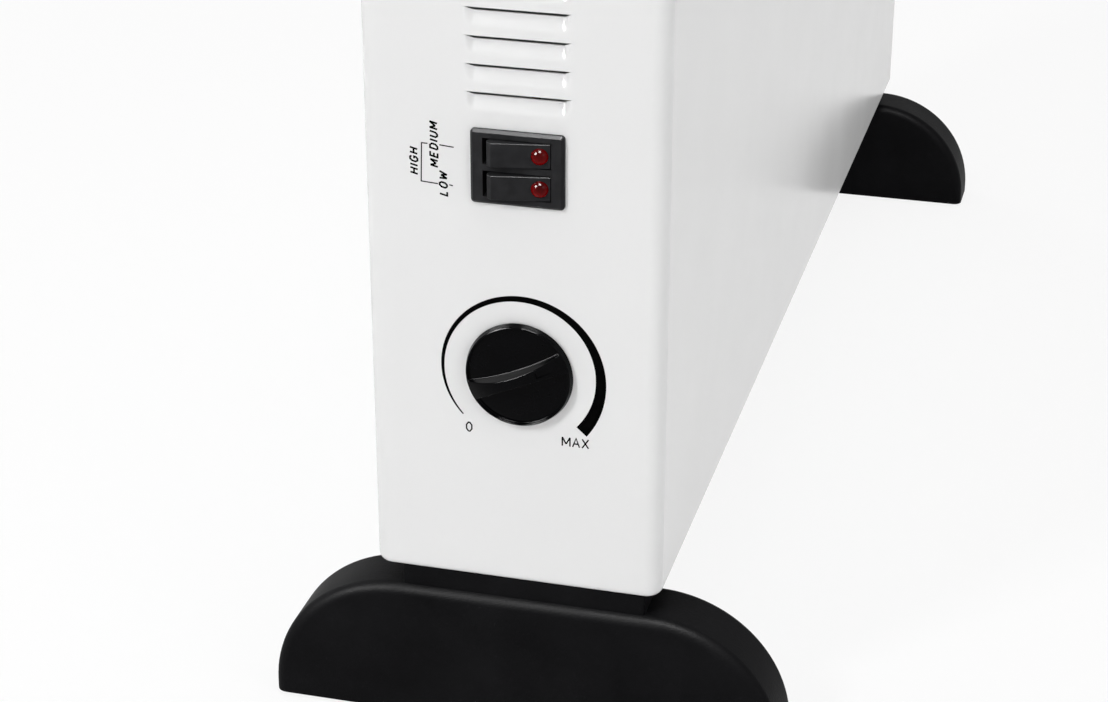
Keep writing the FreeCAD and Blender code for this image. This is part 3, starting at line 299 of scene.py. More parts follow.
def drawn_group(name):
    """Fine lines left by rolling or drawing metal along one axis."""
    tree, given, leave = open_group(name, "ShaderNodeTree", {"Stretch": (60.0, 2500.0, 2500.0)}, ("Lines",))
    place = add_node(tree, "ShaderNodeVectorMath", {0: object_place(tree), 1: given["Stretch"]},
                     operation="MULTIPLY")
    noise = add_node(tree, "ShaderNodeTexNoise", {"Vector": place, "Scale": 1.0, "Detail": 5.0})
    feed(tree, leave.inputs["Lines"], noise.outputs["Fac"])
    return tree


# Finishes

class Finish:
    """A material under construction: its tree, its surface shader and ways to shape them."""

    def __init__(self, name, **plain):
        """Start a material with values that are the same all over, named with underscores for spaces."""
        self.material = bpy.data.materials.new(name)
        self.material.use_nodes = True
        self.tree = self.material.node_tree
        self.tree.nodes.clear()
        self.surface = add_node(self.tree, "ShaderNodeBsdfPrincipled", spaced(plain))
        self.output = add_node(self.tree, "ShaderNodeOutputMaterial", {"Surface": self.surface})

    def group(self, name, build, **values):
        """Place a shared group, built when first asked for, and set its inputs."""
        shared = bpy.data.node_groups.get(name) or build(name)
        return add_node(self.tree, "ShaderNodeGroup", spaced(values), node_tree=shared)

    def blend(self, mask, low, high):
        """Colour between two, by a mask."""
        inputs = {MIX_FACTOR: mask, MIX_LOW: low, MIX_HIGH: high}
        return add_node(self.tree, "ShaderNodeMix", inputs, data_type="RGBA").outputs[MIX_RESULT]

    def colour(self, value):
        """Feed the base colour."""
        feed(self.tree, self.surface.inputs["Base Color"], value)

    def gloss(self, least, most, scale):
        """Roughness that varies slowly between two values; returns the mask that it follows."""
        cloud = self.group("Cloud", cloud_group, Scale=scale, Least=least, Most=most)
        feed(self.tree, self.surface.inputs["Roughness"], cloud.outputs["Value"])
        return cloud.outputs["Mask"]

    def cloudy(self, low, high, least, most, scale):
        """Base colour between two shades and roughness between two values, varying slowly together."""
        self.colour(self.blend(self.gloss(least, most, scale), low, high))

    def relief(self, height, strength, depth):
        """Bump the surface by a height."""
        bump = add_node(self.tree, "ShaderNodeBump",
                        {"Strength": strength, "Distance": depth, "Height": height})
        feed(self.tree, self.surface.inputs["Normal"], bump)

    def grained(self, cell, unevenness, strength, depth):
        """Bump by the shared grain."""
        grain = self.group("Grain", grain_group, Cell_size=cell, Unevenness=unevenness)
        self.relief(grain.outputs["Height"], strength, depth)

    def drawn(self, stretch, strength, depth):
        """Bump by the shared drawn lines, and return their mask."""
        lines = self.group("Drawn lines", drawn_group, Stretch=stretch).outputs["Lines"]
        self.relief(lines, strength, depth)
        return lines


def shade(colour, factor):
    """Lighter or darker colour."""
    return tuple(min(channel * factor, 1.0) for channel in tuple(colour)[:3]) + (1.0,)


def grey(value, warmth=0.0):
    """Grey with a little warmth, as a colour with alpha."""
    return (value * (1 + warmth), value, value * (1 - warmth), 1.0)


def powder_coat():
    """White semi-gloss powder coat with a faint orange peel."""
    finish = Finish("white_powder_coat", Specular_IOR_Level=0.18)
    white = settings("finish").paint
    finish.cloudy(shade(white, 0.985), white, least=0.16, most=0.20, scale=18.0)
    finish.grained(cell=1.6 * MM, unevenness=0.6, strength=0.05, depth=0.05 * MM)
    return finish.material


def grained_black():
    """Black moulding with a fine spark-eroded grain."""
    finish = Finish("grained_black_moulding", Specular_IOR_Level=0.022)
    black = settings("finish").foot
    finish.cloudy(black, shade(black, 1.5), least=0.42, most=0.52, scale=40.0)
    finish.grained(cell=0.55 * MM, unevenness=0.8, strength=0.55, depth=0.12 * MM)
    return finish.material


def satin_black():
    """Satin black of the switch, finely textured."""
    finish = Finish("satin_black_switch", Specular_IOR_Level=0.1)
    black = settings("finish").switch
    finish.cloudy(black, shade(black, 1.5), least=0.36, most=0.46, scale=300.0)
    finish.grained(cell=0.25 * MM, unevenness=0.8, strength=0.30, depth=0.03 * MM)
    return finish.material


def gloss_black():
    """Polished black of the knob, with faint handling marks in its gloss."""
    finish = Finish("gloss_black_knob", Specular_IOR_Level=0.045)
    black = settings("finish").knob
    finish.cloudy(black, shade(black, 1.6), least=0.05, most=0.11, scale=160.0)
    finish.grained(cell=3.0 * MM, unevenness=0.8, strength=0.03, depth=0.02 * MM)
    return finish.material


def red_lens():
    """Clear red lens with facets moulded inside, with painted shade where it is looked into and painted light
    at its rim.
    """
    finish = Finish("clear_red_lens", Roughness=0.1, Specular_IOR_Level=0.03, Coat_Weight=0.07,
                    Coat_Roughness=0.02)
    red = settings("finish").lens
    cells = finish.group("Cells", cell_group, Size=2.2 * MM)
    inside = finish.blend(cells.outputs["Mask"], shade(red, 0.3), shade(red, 0.7))
    # Painted shade and painted light: by the angle it is seen at, the colour goes from the dark centre to a
    # lighter rim
    painted_rim_light = add_node(finish.tree, "ShaderNodeLayerWeight", {"Blend": 0.4}).outputs["Facing"]
    finish.colour(finish.blend(painted_rim_light, inside, shade(red, 2.2)))
    finish.relief(cells.outputs["Distance"], strength=0.04, depth=0.1 * MM)
    return finish.material


def print_ink():
    """Screen-printed black ink, a little uneven."""
    finish = Finish("black_print_ink", Specular_IOR_Level=0.0)
    ink = settings("finish").ink
    finish.cloudy(ink, shade(ink, 2.0), least=0.45, most=0.6, scale=400.0)
    finish.grained(cell=0.2 * MM, unevenness=0.6, strength=0.1, depth=0.01 * MM)
    return finish.material


def rubber():
    """Matt rubber of the floor pads."""
    finish = Finish("matt_rubber")
    finish.cloudy(grey(0.018), grey(0.030), least=0.7, most=0.85, scale=120.0)
    finish.grained(cell=0.5 * MM, unevenness=0.8, strength=0.4, depth=0.08 * MM)
    return finish.material


def zinc_sheet():
    """Zinc-coated sheet with its crystal spangle."""
    finish = Finish("zinc_sheet", Metallic=1.0)
    crystals = finish.group("Cells", cell_group, Size=7.0 * MM).outputs["Mask"]
    finish.colour(finish.blend(crystals, grey(0.46, -0.01), grey(0.62, -0.01)))
    finish.gloss(least=0.34, most=0.5, scale=60.0)
    finish.grained(cell=2.0 * MM, unevenness=0.6, strength=0.1, depth=0.05 * MM)
    return finish.material


def plated_steel():
    """Bright zinc plating of the screws and the spindle."""
    finish = Finish("plated_steel", Metallic=1.0)
    finish.cloudy(grey(0.55, 0.01), grey(0.68, 0.02), least=0.22, most=0.34, scale=500.0)
    finish.grained(cell=0.4 * MM, unevenness=0.6, strength=0.1, depth=0.02 * MM)
    return finish.material


def mill_aluminium():
    """Extruded aluminium with die lines along it."""
    finish = Finish("mill_aluminium", Metallic=1.0)
    finish.gloss(least=0.3, most=0.42, scale=50.0)
    lines = finish.drawn(stretch=(40.0, 3000.0, 3000.0), strength=0.15, depth=0.03 * MM)
    finish.colour(finish.blend(lines, grey(0.58, -0.01), grey(0.74, 0.005)))
    return finish.material


def oxidised_sheath():
    """Steel sheath darkened by heat."""
    finish = Finish("oxidised_sheath", Metallic=1.0)
    finish.cloudy(grey(0.16, 0.06), grey(0.34, 0.03), least=0.45, most=0.6, scale=70.0)
    finish.drawn(stretch=(50.0, 2500.0, 2500.0), strength=0.12, depth=0.03 * MM)
    return finish.material


def unglazed_ceramic():
    """Cream ceramic with a dry, slightly pitted skin."""
    finish = Finish("unglazed_ceramic")
    finish.cloudy((0.66, 0.62, 0.52, 1), (0.76, 0.73, 0.65, 1), least=0.65, most=0.8, scale=150.0)
    finish.grained(cell=0.6 * MM, unevenness=0.9, strength=0.3, depth=0.06 * MM)
    return finish.material


def brown_moulding():
    """Brown heat-proof moulding of the thermostat."""
    finish = Finish("brown_moulding")
    finish.cloudy((0.075, 0.04, 0.022, 1), (0.11, 0.062, 0.036, 1), least=0.4, most=0.52, scale=130.0)
    finish.grained(cell=0.5 * MM, unevenness=0.8, strength=0.25, depth=0.05 * MM)
    return finish.material


def brass():
    """Rolled brass of the spades and the bimetal blade."""
    finish = Finish("rolled_brass", Metallic=1.0)
    finish.cloudy((0.55, 0.38, 0.12, 1), (0.68, 0.5, 0.2, 1), least=0.28, most=0.4, scale=200.0)
    finish.drawn(stretch=(2000.0, 2000.0, 80.0), strength=0.12, depth=0.02 * MM)
    return finish.material


def woven_sleeve():
    """Braided glass-fibre sleeve of the inner leads."""
    finish = Finish("woven_sleeve")
    weave = {"Vector": object_place(finish.tree), "Scale": 180.0}
    braid = add_node(finish.tree, "ShaderNodeTexWave", weave, bands_direction="DIAGONAL").outputs["Fac"]
    finish.gloss(least=0.7, most=0.85, scale=200.0)
    finish.colour(finish.blend(braid, (0.24, 0.14, 0.05, 1), (0.46, 0.3, 0.13, 1)))
    finish.relief(braid, strength=0.5, depth=0.1 * MM)
    return finish.material


def gland_black():
    """Black moulding of the cord gland, smoother than the feet."""
    finish = Finish("black_gland_moulding", Specular_IOR_Level=0.15)
    finish.cloudy(grey(0.012), grey(0.02), least=0.4, most=0.5, scale=200.0)
    finish.grained(cell=0.4 * MM, unevenness=0.7, strength=0.25, depth=0.04 * MM)
    return finish.material


FINISHES = {}


def finish_of(build):
    """Material made by one of the finish functions, made once."""
    if build not in FINISHES:
        FINISHES[build] = build()
    return FINISHES[build]


# Making pieces

def new_object(name, data):
    """Object in the scene for a mesh, a lamp or a camera."""
    item = bpy.data.objects.new(name, data)
    bpy.context.scene.collection.objects.link(item)
    return item


def as_piece(item, body, slot, *replaced):
    """Make an object a piece of the heater that rides on a body and stands for CAD nodes."""
    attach(item, body)
    if replaced:
        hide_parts(*replaced)
    return item


def clothe(node, build):
    """Give a CAD node a finish."""
    mesh = NODES[node].data
    mesh.materials.clear()
    mesh.materials.append(finish_of(build))


def baked(item):
    """Plain mesh of an object with its modifiers applied; the object is removed."""
    bpy.context.view_layer.update()
    evaluated = item.evaluated_get(bpy.context.evaluated_depsgraph_get())
    mesh = bpy.data.meshes.new_from_object(evaluated)
    item.modifiers.clear()
    bpy.data.objects.remove(item)
    return mesh


def smooth(mesh, sharp_angle):
    """Shade a mesh smooth, keeping edges over an angle sharp."""
    mesh.shade_smooth()
    mesh.set_sharp_from_angle(angle=sharp_angle)


def weighted_normals(item):
    """Let large faces decide the shading beside small fillets."""
    modifier = item.modifiers.new("Weighted normals", "WEIGHTED_NORMAL")
    modifier.keep_sharp = True
    modifier.weight = FACE_WEIGHT


def merged_mesh(name, node):
    """Clean mesh from a CAD node, with its loose triangles merged."""
    rough = bmesh.new()
    rough.from_mesh(NODES[node].data)
    bmesh.ops.remove_doubles(rough, verts=rough.verts, dist=WELD)
    rough.verts.index_update()
    points = [vert.co.copy() for vert in rough.verts]
    faces = [[vert.index for vert in face.verts] for face in rough.faces]
    rough.free()
    mesh = bpy.data.meshes.new(name)
    mesh.from_pydata(points, [], faces)
    mesh.validate()
    return mesh


def smooth_copy(name, node, body, slot, build, sharp_angle=SHARP_EDGE):
    """Smooth-shaded piece with the shape of a CAD node."""
    mesh = merged_mesh(name, node)
    mesh.materials.append(finish_of(build))
    smooth(mesh, sharp_angle)
    item = new_object(name, mesh)
    weighted_normals(item)
    return as_piece(item, body, slot, node)


def set_inputs(modifier, **values):
    """Set a Geometry Nodes modifier's inputs by name, written with underscores for spaces."""
    inputs = spaced(values)
    for socket in modifier.node_group.interface.items_tree:
        if socket.in_out == "INPUT" and socket.name in inputs:
            modifier[socket.identifier] = inputs[socket.name]


# Casing

class Skin:
    """Outer limits of the casing's sheet; the louvres of the CAD casing stand out of its ends."""

    def __init__(self):
        """Take the limits from the CAD casing and the settings."""
        fold = settings("casing")
        low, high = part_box("casing_wrap")
        self.x0, self.x1 = low.x + CAD_LOUVRE_RISE, high.x - CAD_LOUVRE_RISE
        self.y0, self.y1 = low.y, high.y
        self.z0, self.z1 = low.z, high.z
        self.bend, self.edge = fold.bend_radius, fold.edge_radius
        self.lips = [self.z0 + fold.louvre_first + i * fold.louvre_pitch for i in range(fold.louvre_count)]
        half = fold.louvre_length / 2 + LOUVRE_MARGIN
        self.louvre_window = (-half, half, self.lips[0] - fold.louvre_pitch, self.lips[-1])

    def air_opening(self, node):
        """Limits in X and Y of the opening over a grille."""
        low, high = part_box(node)
        return low.x + GRILLE_LAP, high.x - GRILLE_LAP, low.y + GRILLE_LAP, high.y - GRILLE_LAP

    def switch_window(self):
        """Cut-out for the switch, in Y and Z."""
        low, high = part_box("switch_housing")
        return low.y + BEZEL_LAP, high.y - BEZEL_LAP, low.z + BEZEL_LAP, high.z - BEZEL_LAP

    def knob_window(self):
        """Hole behind the knob, in Y and Z."""
        half = KNOB_HOLE / 2
        return KNOB_CENTRE.y - half, KNOB_CENTRE.y + half, KNOB_CENTRE.z - half, KNOB_CENTRE.z + half

    def rear_window(self):
        """Opening behind the rear panel, in X and Z."""
        return self.x0 + REAR_END_RIM, self.x1 - REAR_END_RIM, self.z0 + REAR_RIM, self.z1 - REAR_RIM

    def end_windows(self):
        """All openings in the control end panel."""
        return [self.louvre_window, self.switch_window(), self.knob_window()]

    def levels(self):
        """Heights at which the upright walls are divided."""
        marks = {self.z0 + self.edge, self.z1 - self.edge}
        for window in self.end_windows() + [self.rear_window()]:
            marks.update(window[2:])
        return sorted(marks)


def rounded_ring(limits, radius, height, end_marks, long_marks):
    """Points round a rounded rectangle, with marks along its sides, from the rear of its first end."""
    x0, x1, y0, y1 = limits
    inner = (x0 + radius, x1 - radius, y0 + radius, y1 - radius)
    ends = [inner[2]] + [min(max(mark, inner[2]), inner[3]) for mark in end_marks] + [inner[3]]
    longs = [inner[0]] + [min(max(mark, inner[0]), inner[1]) for mark in long_marks] + [inner[1]]
    bend = [math.pi / 2 * i / BEND_STEPS for i in range(1, BEND_STEPS)]

    def corner(x, y, start):
        """Points between the ends of a bend round a middle."""
        return [(x + radius * math.cos(start + turn), y + radius * math.sin(start + turn)) for turn in bend]

    plan = [(x0, y) for y in reversed(ends)]
    plan += corner(inner[0], inner[2], math.pi)
    plan += [(x, y0) for x in longs]
    plan += corner(inner[1], inner[2], 1.5 * math.pi)
    plan += [(x1, y) for y in ends]
    plan += corner(inner[1], inner[3], 0.0)
    plan += [(x, y1) for x in reversed(longs)]
    plan += corner(inner[0], inner[3], 0.5 * math.pi)
    return [(x, y, height) for x, y in plan]


def casing_rings(skin):
    """Rings of the casing's skin from its bottom air opening up the walls to its top air opening."""
    end_marks = sorted({mark for window in skin.end_windows() for mark in window[:2]})
    long_marks = skin.rear_window()[:2]

    def ring(inset, height):
        """Ring round the walls, set in from them."""
        limits = (skin.x0 + inset, skin.x1 - inset, skin.y0 + inset, skin.y1 - inset)
        return rounded_ring(limits, max(skin.bend - inset, SMALLEST_BEND), height, end_marks, long_marks)

    def opening(node, height):
        """Ring round the air opening over a grille."""
        return rounded_ring(skin.air_opening(node), SMALLEST_BEND, height, end_marks, long_marks)

    fold = [math.pi / 2 * i / BEND_STEPS for i in range(BEND_STEPS)]
    insets = [(skin.edge * (1 - math.sin(turn)), skin.edge * (1 - math.cos(turn))) for turn in fold]
    rings = [opening("bottom_grille", skin.z0)]
    rings += [ring(inset, skin.z0 + rise) for inset, rise in insets]
    rings += [ring(0.0, level) for level in skin.levels()]
    rings += [ring(inset, skin.z1 - rise) for inset, rise in reversed(insets)]
    rings.append(opening("top_grille", skin.z1))
    return rings


def within(value, low, high):
    """Whether a value lies between two limits."""
    return low < value < high


def is_cut_away(centre, skin):
    """Whether a face of the skin with this centre lies in one of the casing's openings."""
    flat = SHEET / 10
    if abs(centre.y - skin.y1) < flat:
        x0, x1, z0, z1 = skin.rear_window()
        return within(centre.x, x0, x1) and within(centre.z, z0, z1)
    windows = []
    if abs(centre.x - skin.x0) < flat:
        windows = skin.end_windows()
    elif abs(centre.x - skin.x1) < flat:
        windows = [skin.louvre_window]
    return any(within(centre.y, y0, y1) and within(centre.z, z0, z1) for y0, y1, z0, z1 in windows)


def casing_shell(skin):
    """Mesh of the casing's skin, open where the louvres, controls, grilles and rear panel go."""
    shell = bmesh.new()
    rings = [[shell.verts.new(point) for point in ring] for ring in casing_rings(skin)]
    for lower, upper in zip(rings, rings[1:]):
        for i in range(len(lower)):
            after = (i + 1) % len(lower)
            shell.faces.new((lower[i], lower[after], upper[after], upper[i]))
    gone = [face for face in shell.faces if is_cut_away(face.calc_center_median(), skin)]
    bmesh.ops.delete(shell, geom=gone, context="FACES")
    bmesh.ops.remove_doubles(shell, verts=shell.verts, dist=WELD)
    bmesh.ops.dissolve_degenerate(shell, edges=shell.edges, dist=WELD)
    mesh = bpy.data.meshes.new("casing_shell")
    shell.to_mesh(mesh)
    shell.free()
    return mesh


def louvre_tree():
    """Row of stamped louvres: a patch of panel pressed in under its slot, repeated up the panel."""
    tree, given, leave = open_group(
        "Stamped louvres", "GeometryNodeTree",
        {"Width": 40.0 * MM, "Length": 35.5 * MM, "Drop": 7.0 * MM, "Ends": 3.4 * MM, "Depth": 1.8 * MM,
         "Gap": 1.35 * MM, "Pitch": 9.3 * MM, "Count": 7, "Outward": -1.0, "First lip": (0.0, 0.0, 0.0),
         "Finish": None},
        ("Geometry",), "NodeSocketGeometry")
    patch = add_node(tree, "GeometryNodeMeshGrid",
                     {"Size X": given["Width"], "Size Y": given["Pitch"],
                      "Vertices X": LOUVRE_COLUMNS, "Vertices Y": LOUVRE_ROWS})
    place = add_node(tree, "ShaderNodeSeparateXYZ", {0: add_node(tree, "GeometryNodeInputPosition")})
    straight = calc(tree, "SUBTRACT", calc(tree, "DIVIDE", given["Length"], 2.0), given["Ends"])
    beyond = calc(tree, "SUBTRACT", calc(tree, "ABSOLUTE", place.outputs["X"]), straight)
    steeper = calc(tree, "DIVIDE", given["Drop"], given["Ends"])
    past_end = calc(tree, "MULTIPLY", calc(tree, "MAXIMUM", beyond, 0.0), steeper)
    below_lip = calc(tree, "SUBTRACT", calc(tree, "DIVIDE", given["Pitch"], 2.0), place.outputs["Y"])
    squares = [calc(tree, "POWER", side, 2.0) for side in (past_end, below_lip)]
    reach = calc(tree, "SQRT", calc(tree, "ADD", *squares))
    share = calc(tree, "MINIMUM", calc(tree, "DIVIDE", reach, given["Drop"]), 1.0)
    wave = calc(tree, "COSINE", calc(tree, "MULTIPLY", share, math.pi))
    pressed = calc(tree, "MULTIPLY_ADD", wave, 0.5, 0.5)
    inward = calc(tree, "MULTIPLY", given["Outward"], calc(tree, "MULTIPLY", given["Depth"], -1.0))
    down = calc(tree, "MULTIPLY_ADD", pressed, given["Gap"], below_lip)
    stamped = add_node(tree, "ShaderNodeCombineXYZ",
                       {"X": calc(tree, "MULTIPLY", pressed, inward), "Y": place.outputs["X"],
                        "Z": calc(tree, "MULTIPLY", down, -1.0)})
    shaped = add_node(tree, "GeometryNodeSetPosition", {"Geometry": patch, "Position": stamped})
    faces_back = calc(tree, "LESS_THAN", given["Outward"], 0.0)
    turned = add_node(tree, "GeometryNodeFlipFaces", {"Mesh": shaped, "Selection": faces_back})
    step = add_node(tree, "ShaderNodeCombineXYZ", {"Z": given["Pitch"]})
    row = add_node(tree, "GeometryNodeMeshLine",
                   {"Count": given["Count"], "Start Location": given["First lip"], "Offset": step},
                   mode="OFFSET")
    copies = add_node(tree, "GeometryNodeInstanceOnPoints", {"Points": row, "Instance": turned})
    real = add_node(tree, "GeometryNodeRealizeInstances", {"Geometry": copies})
    welded = add_node(tree, "GeometryNodeMergeByDistance", {"Geometry": real, "Distance": WELD})
    coated = add_node(tree, "GeometryNodeSetMaterial", {"Geometry": welded, "Material": given["Finish"]})
    feed(tree, leave.inputs["Geometry"], coated)
    return tree


def louvre_mesh(skin, tree, face_x, outward):
    """Louvres of one end panel as a plain mesh."""
    fold = settings("casing")
    item = new_object("louvre_row", bpy.data.meshes.new("louvre_row"))
    modifier = item.modifiers.new("Louvres", "NODES")
    modifier.node_group = tree
    set_inputs(modifier, Width=skin.louvre_window[1] - skin.louvre_window[0], Length=fold.louvre_length,
               Drop=fold.louvre_drop, Ends=fold.louvre_ends, Depth=fold.louvre_depth, Gap=fold.louvre_gap,
               Pitch=fold.louvre_pitch, Count=fold.louvre_count, Outward=outward,
               First_lip=(face_x, 0.0, skin.lips[0]), Finish=finish_of(powder_coat))
    return baked(item)


def joined_mesh(name, meshes):
    """One mesh from several, which are removed."""
    whole = bmesh.new()
    for mesh in meshes:
        whole.from_mesh(mesh)
        bpy.data.meshes.remove(mesh)
    joined = bpy.data.meshes.new(name)
    whole.to_mesh(joined)
    whole.free()
    return joined


def sharp_border(mesh):
    """Mark a mesh's open edges sharp, so that the sheet's cut edge doesn't soften its face."""
    uses = {}
    for face in mesh.polygons:
        for edge in face.edge_keys:
            uses[edge] = uses.get(edge, 0) + 1
    for edge in mesh.edges:
        if uses.get(edge.key) == 1:
            edge.use_edge_sharp = True


def sheet_piece(name, mesh, *replaced):
    """Painted sheet of the casing's thickness, bare zinc inside, from its outer skin."""
    mesh.materials.clear()
    mesh.materials.append(finish_of(powder_coat))
    mesh.materials.append(finish_of(zinc_sheet))
    smooth(mesh, SHARP_SHEET)
    sharp_border(mesh)
    item = new_object(name, mesh)
    wall = item.modifiers.new("Sheet", "SOLIDIFY")
    wall.thickness = SHEET
    wall.offset = -1.0
    wall.material_offset = 1
    wall.material_offset_rim = 0
    weighted_normals(item)
    return as_piece(item, HEATER, "casing_paint", *replaced)


class HEATER_OT_casing(bpy.types.Operator):
    """Bent casing skin with the louvres stamped in both ends"""

    bl_idname = "heater.casing"
    bl_label = "Casing"

    def execute(self, context):
        skin = Skin()
        tree = louvre_tree()
        rows = [louvre_mesh(skin, tree, skin.x0, -1.0), louvre_mesh(skin, tree, skin.x1, 1.0)]
        sheet_piece("casing_shell", casing_shell(skin), "casing_wrap")
        sheet_piece("end_louvres", joined_mesh("end_louvres", rows))
        for node in ("rear_panel", "top_grille", "bottom_grille"):
            clothe(node, powder_coat)
        return {"FINISHED"}


# Screws, controls and feet

class HEATER_OT_screws(bpy.types.Operator):
    """Plated screws in the rear panel, under the casing and in the feet"""

    bl_idname = "heater.screws"
    bl_label = "Screws"

    def execute(self, context):
        for node in ("rear_panel_screws", "bulkhead_screws", "foot_screws"):
            smooth_copy(node + "_plated", node, HEATER, "plated_screw", plated_steel)
        return {"FINISHED"}


class HEATER_OT_switch(bpy.types.Operator):
    """Twin rocker switch with its bezel, rockers and red lenses"""

    bl_idname = "heater.switch"
    bl_label = "Switch"

    def execute(self, context):
        smooth_copy("switch_bezel", "switch_housing", HEATER, "switch_moulding", satin_black)
        for level, body in (("low", LOW_ROCKER), ("high", HIGH_ROCKER)):
            smooth_copy("rocker_cap_" + level, "rocker_" + level, body, "switch_moulding", satin_black)
            smooth_copy("rocker_lens_" + level, "lens_" + level, body, "lens_red", red_lens, SHARP_LENS)
        return {"FINISHED"}


class HEATER_OT_knob(bpy.types.Operator):
    """Gloss knob with its two finger hollows and grip bar"""

    bl_idname = "heater.knob"
    bl_label = "Knob"

    def execute(self, context):
        smooth_copy("knob_cap", "thermostat_knob", KNOB, "knob_moulding", gloss_black, SHARP_KNOB)
        clothe("thermostat_spindle", plated_steel)
        return {"FINISHED"}


class HEATER_OT_feet(bpy.types.Operator):
    """Grained black feet on rubber pads"""

    bl_idname = "heater.feet"
    bl_label = "Feet"

    def execute(self, context):
        for end in ("control_end", "far_end"):
            smooth_copy("foot_" + end + "_skin", "foot_" + end, HEATER, "foot_moulding", grained_black)
        clothe("foot_pads", rubber)
        clothe("foot_plates", zinc_sheet)
        return {"FINISHED"}


class HEATER_OT_inside(bpy.types.Operator):
    """Finishes of the parts inside the casing and of the cord gland"""

    bl_idname = "heater.inside"
    bl_label = "Inside"

    def execute(self, context):
        finishes = {
            zinc_sheet: ("control_bulkhead", "far_bulkhead", "front_heat_shield", "rear_heat_shield",
                         "thermostat_bracket", "thermal_cutout"),
            mill_aluminium: ("heater_fins_low", "heater_fins_high"),
            oxidised_sheath: ("heater_rod_low", "heater_rod_high"),
            unglazed_ceramic: ("element_bushes", "terminal_block"),
            brown_moulding: ("thermostat_body",),
            plated_steel: ("thermostat_nut",),
            brass: ("switch_terminals", "thermostat_blade"),
            woven_sleeve: ("internal_leads",),
            gland_black: ("cord_gland",),
        }
        for build, nodes in finishes.items():
            for node in nodes:
                clothe(node, build)
        return {"FINISHED"}


# Print on the end panel

# Strokes of the letters, on a square as high as the letter
LETTERS = {
    "0": [[(0.2, 0), (0, 0.28), (0, 0.72), (0.2, 1), (0.36, 1), (0.56, 0.72), (0.56, 0.28), (0.36, 0),
           (0.2, 0)]],
    "A": [[(0, 0), (0.36, 1), (0.72, 0)], [(0.14, 0.36), (0.58, 0.36)]],
    "D": [[(0, 0), (0, 1), (0.38, 1), (0.64, 0.74), (0.64, 0.26), (0.38, 0), (0, 0)]],
    "E": [[(0.56, 0), (0, 0), (0, 1), (0.56, 1)], [(0, 0.5), (0.48, 0.5)]],
    "G": [[(0.64, 0.8), (0.46, 1), (0.2, 1), (0, 0.74), (0, 0.26), (0.2, 0), (0.46, 0), (0.64, 0.2),
           (0.64, 0.46), (0.36, 0.46)]],
    "H": [[(0, 0), (0, 1)], [(0.64, 0), (0.64, 1)], [(0, 0.5), (0.64, 0.5)]],
    "I": [[(0, 0), (0, 1)]],
    "L": [[(0, 1), (0, 0), (0.52, 0)]],
    "M": [[(0, 0), (0, 1)], [(0, 1), (0.4, 0.24)], [(0.4, 0.24), (0.8, 1)], [(0.8, 1), (0.8, 0)]],
    "O": [[(0.2, 0), (0, 0.26), (0, 0.74), (0.2, 1), (0.46, 1), (0.66, 0.74), (0.66, 0.26), (0.46, 0),
           (0.2, 0)]],
    "U": [[(0, 1), (0, 0.24), (0.2, 0), (0.44, 0), (0.64, 0.24), (0.64, 1)]],
    "W": [[(0, 1), (0.22, 0)], [(0.22, 0), (0.47, 0.8)], [(0.47, 0.8), (0.72, 0)], [(0.72, 0), (0.94, 1)]],
    "X": [[(0, 0), (0.66, 1)], [(0, 1), (0.66, 0)]],
}

# Limit on how far a stroke's corner is drawn out, as the cosine of half its turn
BLUNTEST_MITRE = 0.6

# Styles of the letters: width of the strokes, gap and slant, as shares of their height
DIAL_STYLE = {"weight": 0.15, "gap": 0.28, "slant": 0.0}
LEVEL_STYLE = {"weight": 0.24, "gap": 0.5, "slant": 0.25}

# How the arc widens along its length: factors of the first, second and third power of the share passed
DIAL_SWELL = (1.16, -1.51, 1.35)

# Words and lines, in millimetres to the right of and above the middle of the knob or the switch
DIAL_WORDS = (("dial_zero", "0", -17.8, -22.0), ("dial_max", "MAX", 19.2, -23.2))
LEVEL_WORDS = (("level_high", "HIGH", -35.05, -0.75), ("level_medium", "MEDIUM", -28.2, 5.5),
               ("level_low", "LOW", -25.2, -7.7))
LEVEL_LINES = (
    ((-30.3, 5.55), (-32.3, 5.6), (-32.7, -7.6), (-27.0, -8.0)),
    ((-26.3, 5.45), (-21.5, 5.06)),
    ((-23.2, -8.0), (-22.0, -8.2)),
)


def panel_frame(centre, across=0.0, up=0.0, turned=False):
    """Matrix that lays the XY plane on the control end panel, some millimetres across and up from a place."""
    right, above, outward = Vector((0, -1, 0)), Vector((0, 0, 1)), Vector((-1, 0, 0))
    place = Vector((Skin().x0, centre.y, centre.z)) + (right * across + above * up) * MM
    if turned:
        right, above = above, -right
    matrix = Matrix((right, above, outward)).transposed().to_4x4()
    matrix.translation = place
    return matrix


def solid_outline(bm, rows):
    """Thin printed strip between two rows of points in the XY plane, closed all round."""
    layers = []
    for height in (0.0, PRINT_THICKNESS):
        layers.append([[bm.verts.new((x, y, height)) for x, y in row] for row in rows])
    count = len(rows[0])
    under, over = layers
    for i in range(count - 1):
        bm.faces.new((over[0][i], over[0][i + 1], over[1][i + 1], over[1][i]))
        bm.faces.new((under[1][i], under[1][i + 1], under[0][i + 1], under[0][i]))
        for side in (0, 1):
            bm.faces.new((under[side][i], under[side][i + 1], over[side][i + 1], over[side][i]))
    for i in (0, count - 1):
        bm.faces.new((under[0][i], under[1][i], over[1][i], over[0][i]))


def print_mesh(name, strips):
    """Mesh of printed strips."""
    bm = bmesh.new()
    for rows in strips:
        solid_outline(bm, rows)
    bmesh.ops.recalc_face_normals(bm, faces=bm.faces)
    mesh = bpy.data.meshes.new(name)
    bm.to_mesh(mesh)
    bm.free()
    return mesh


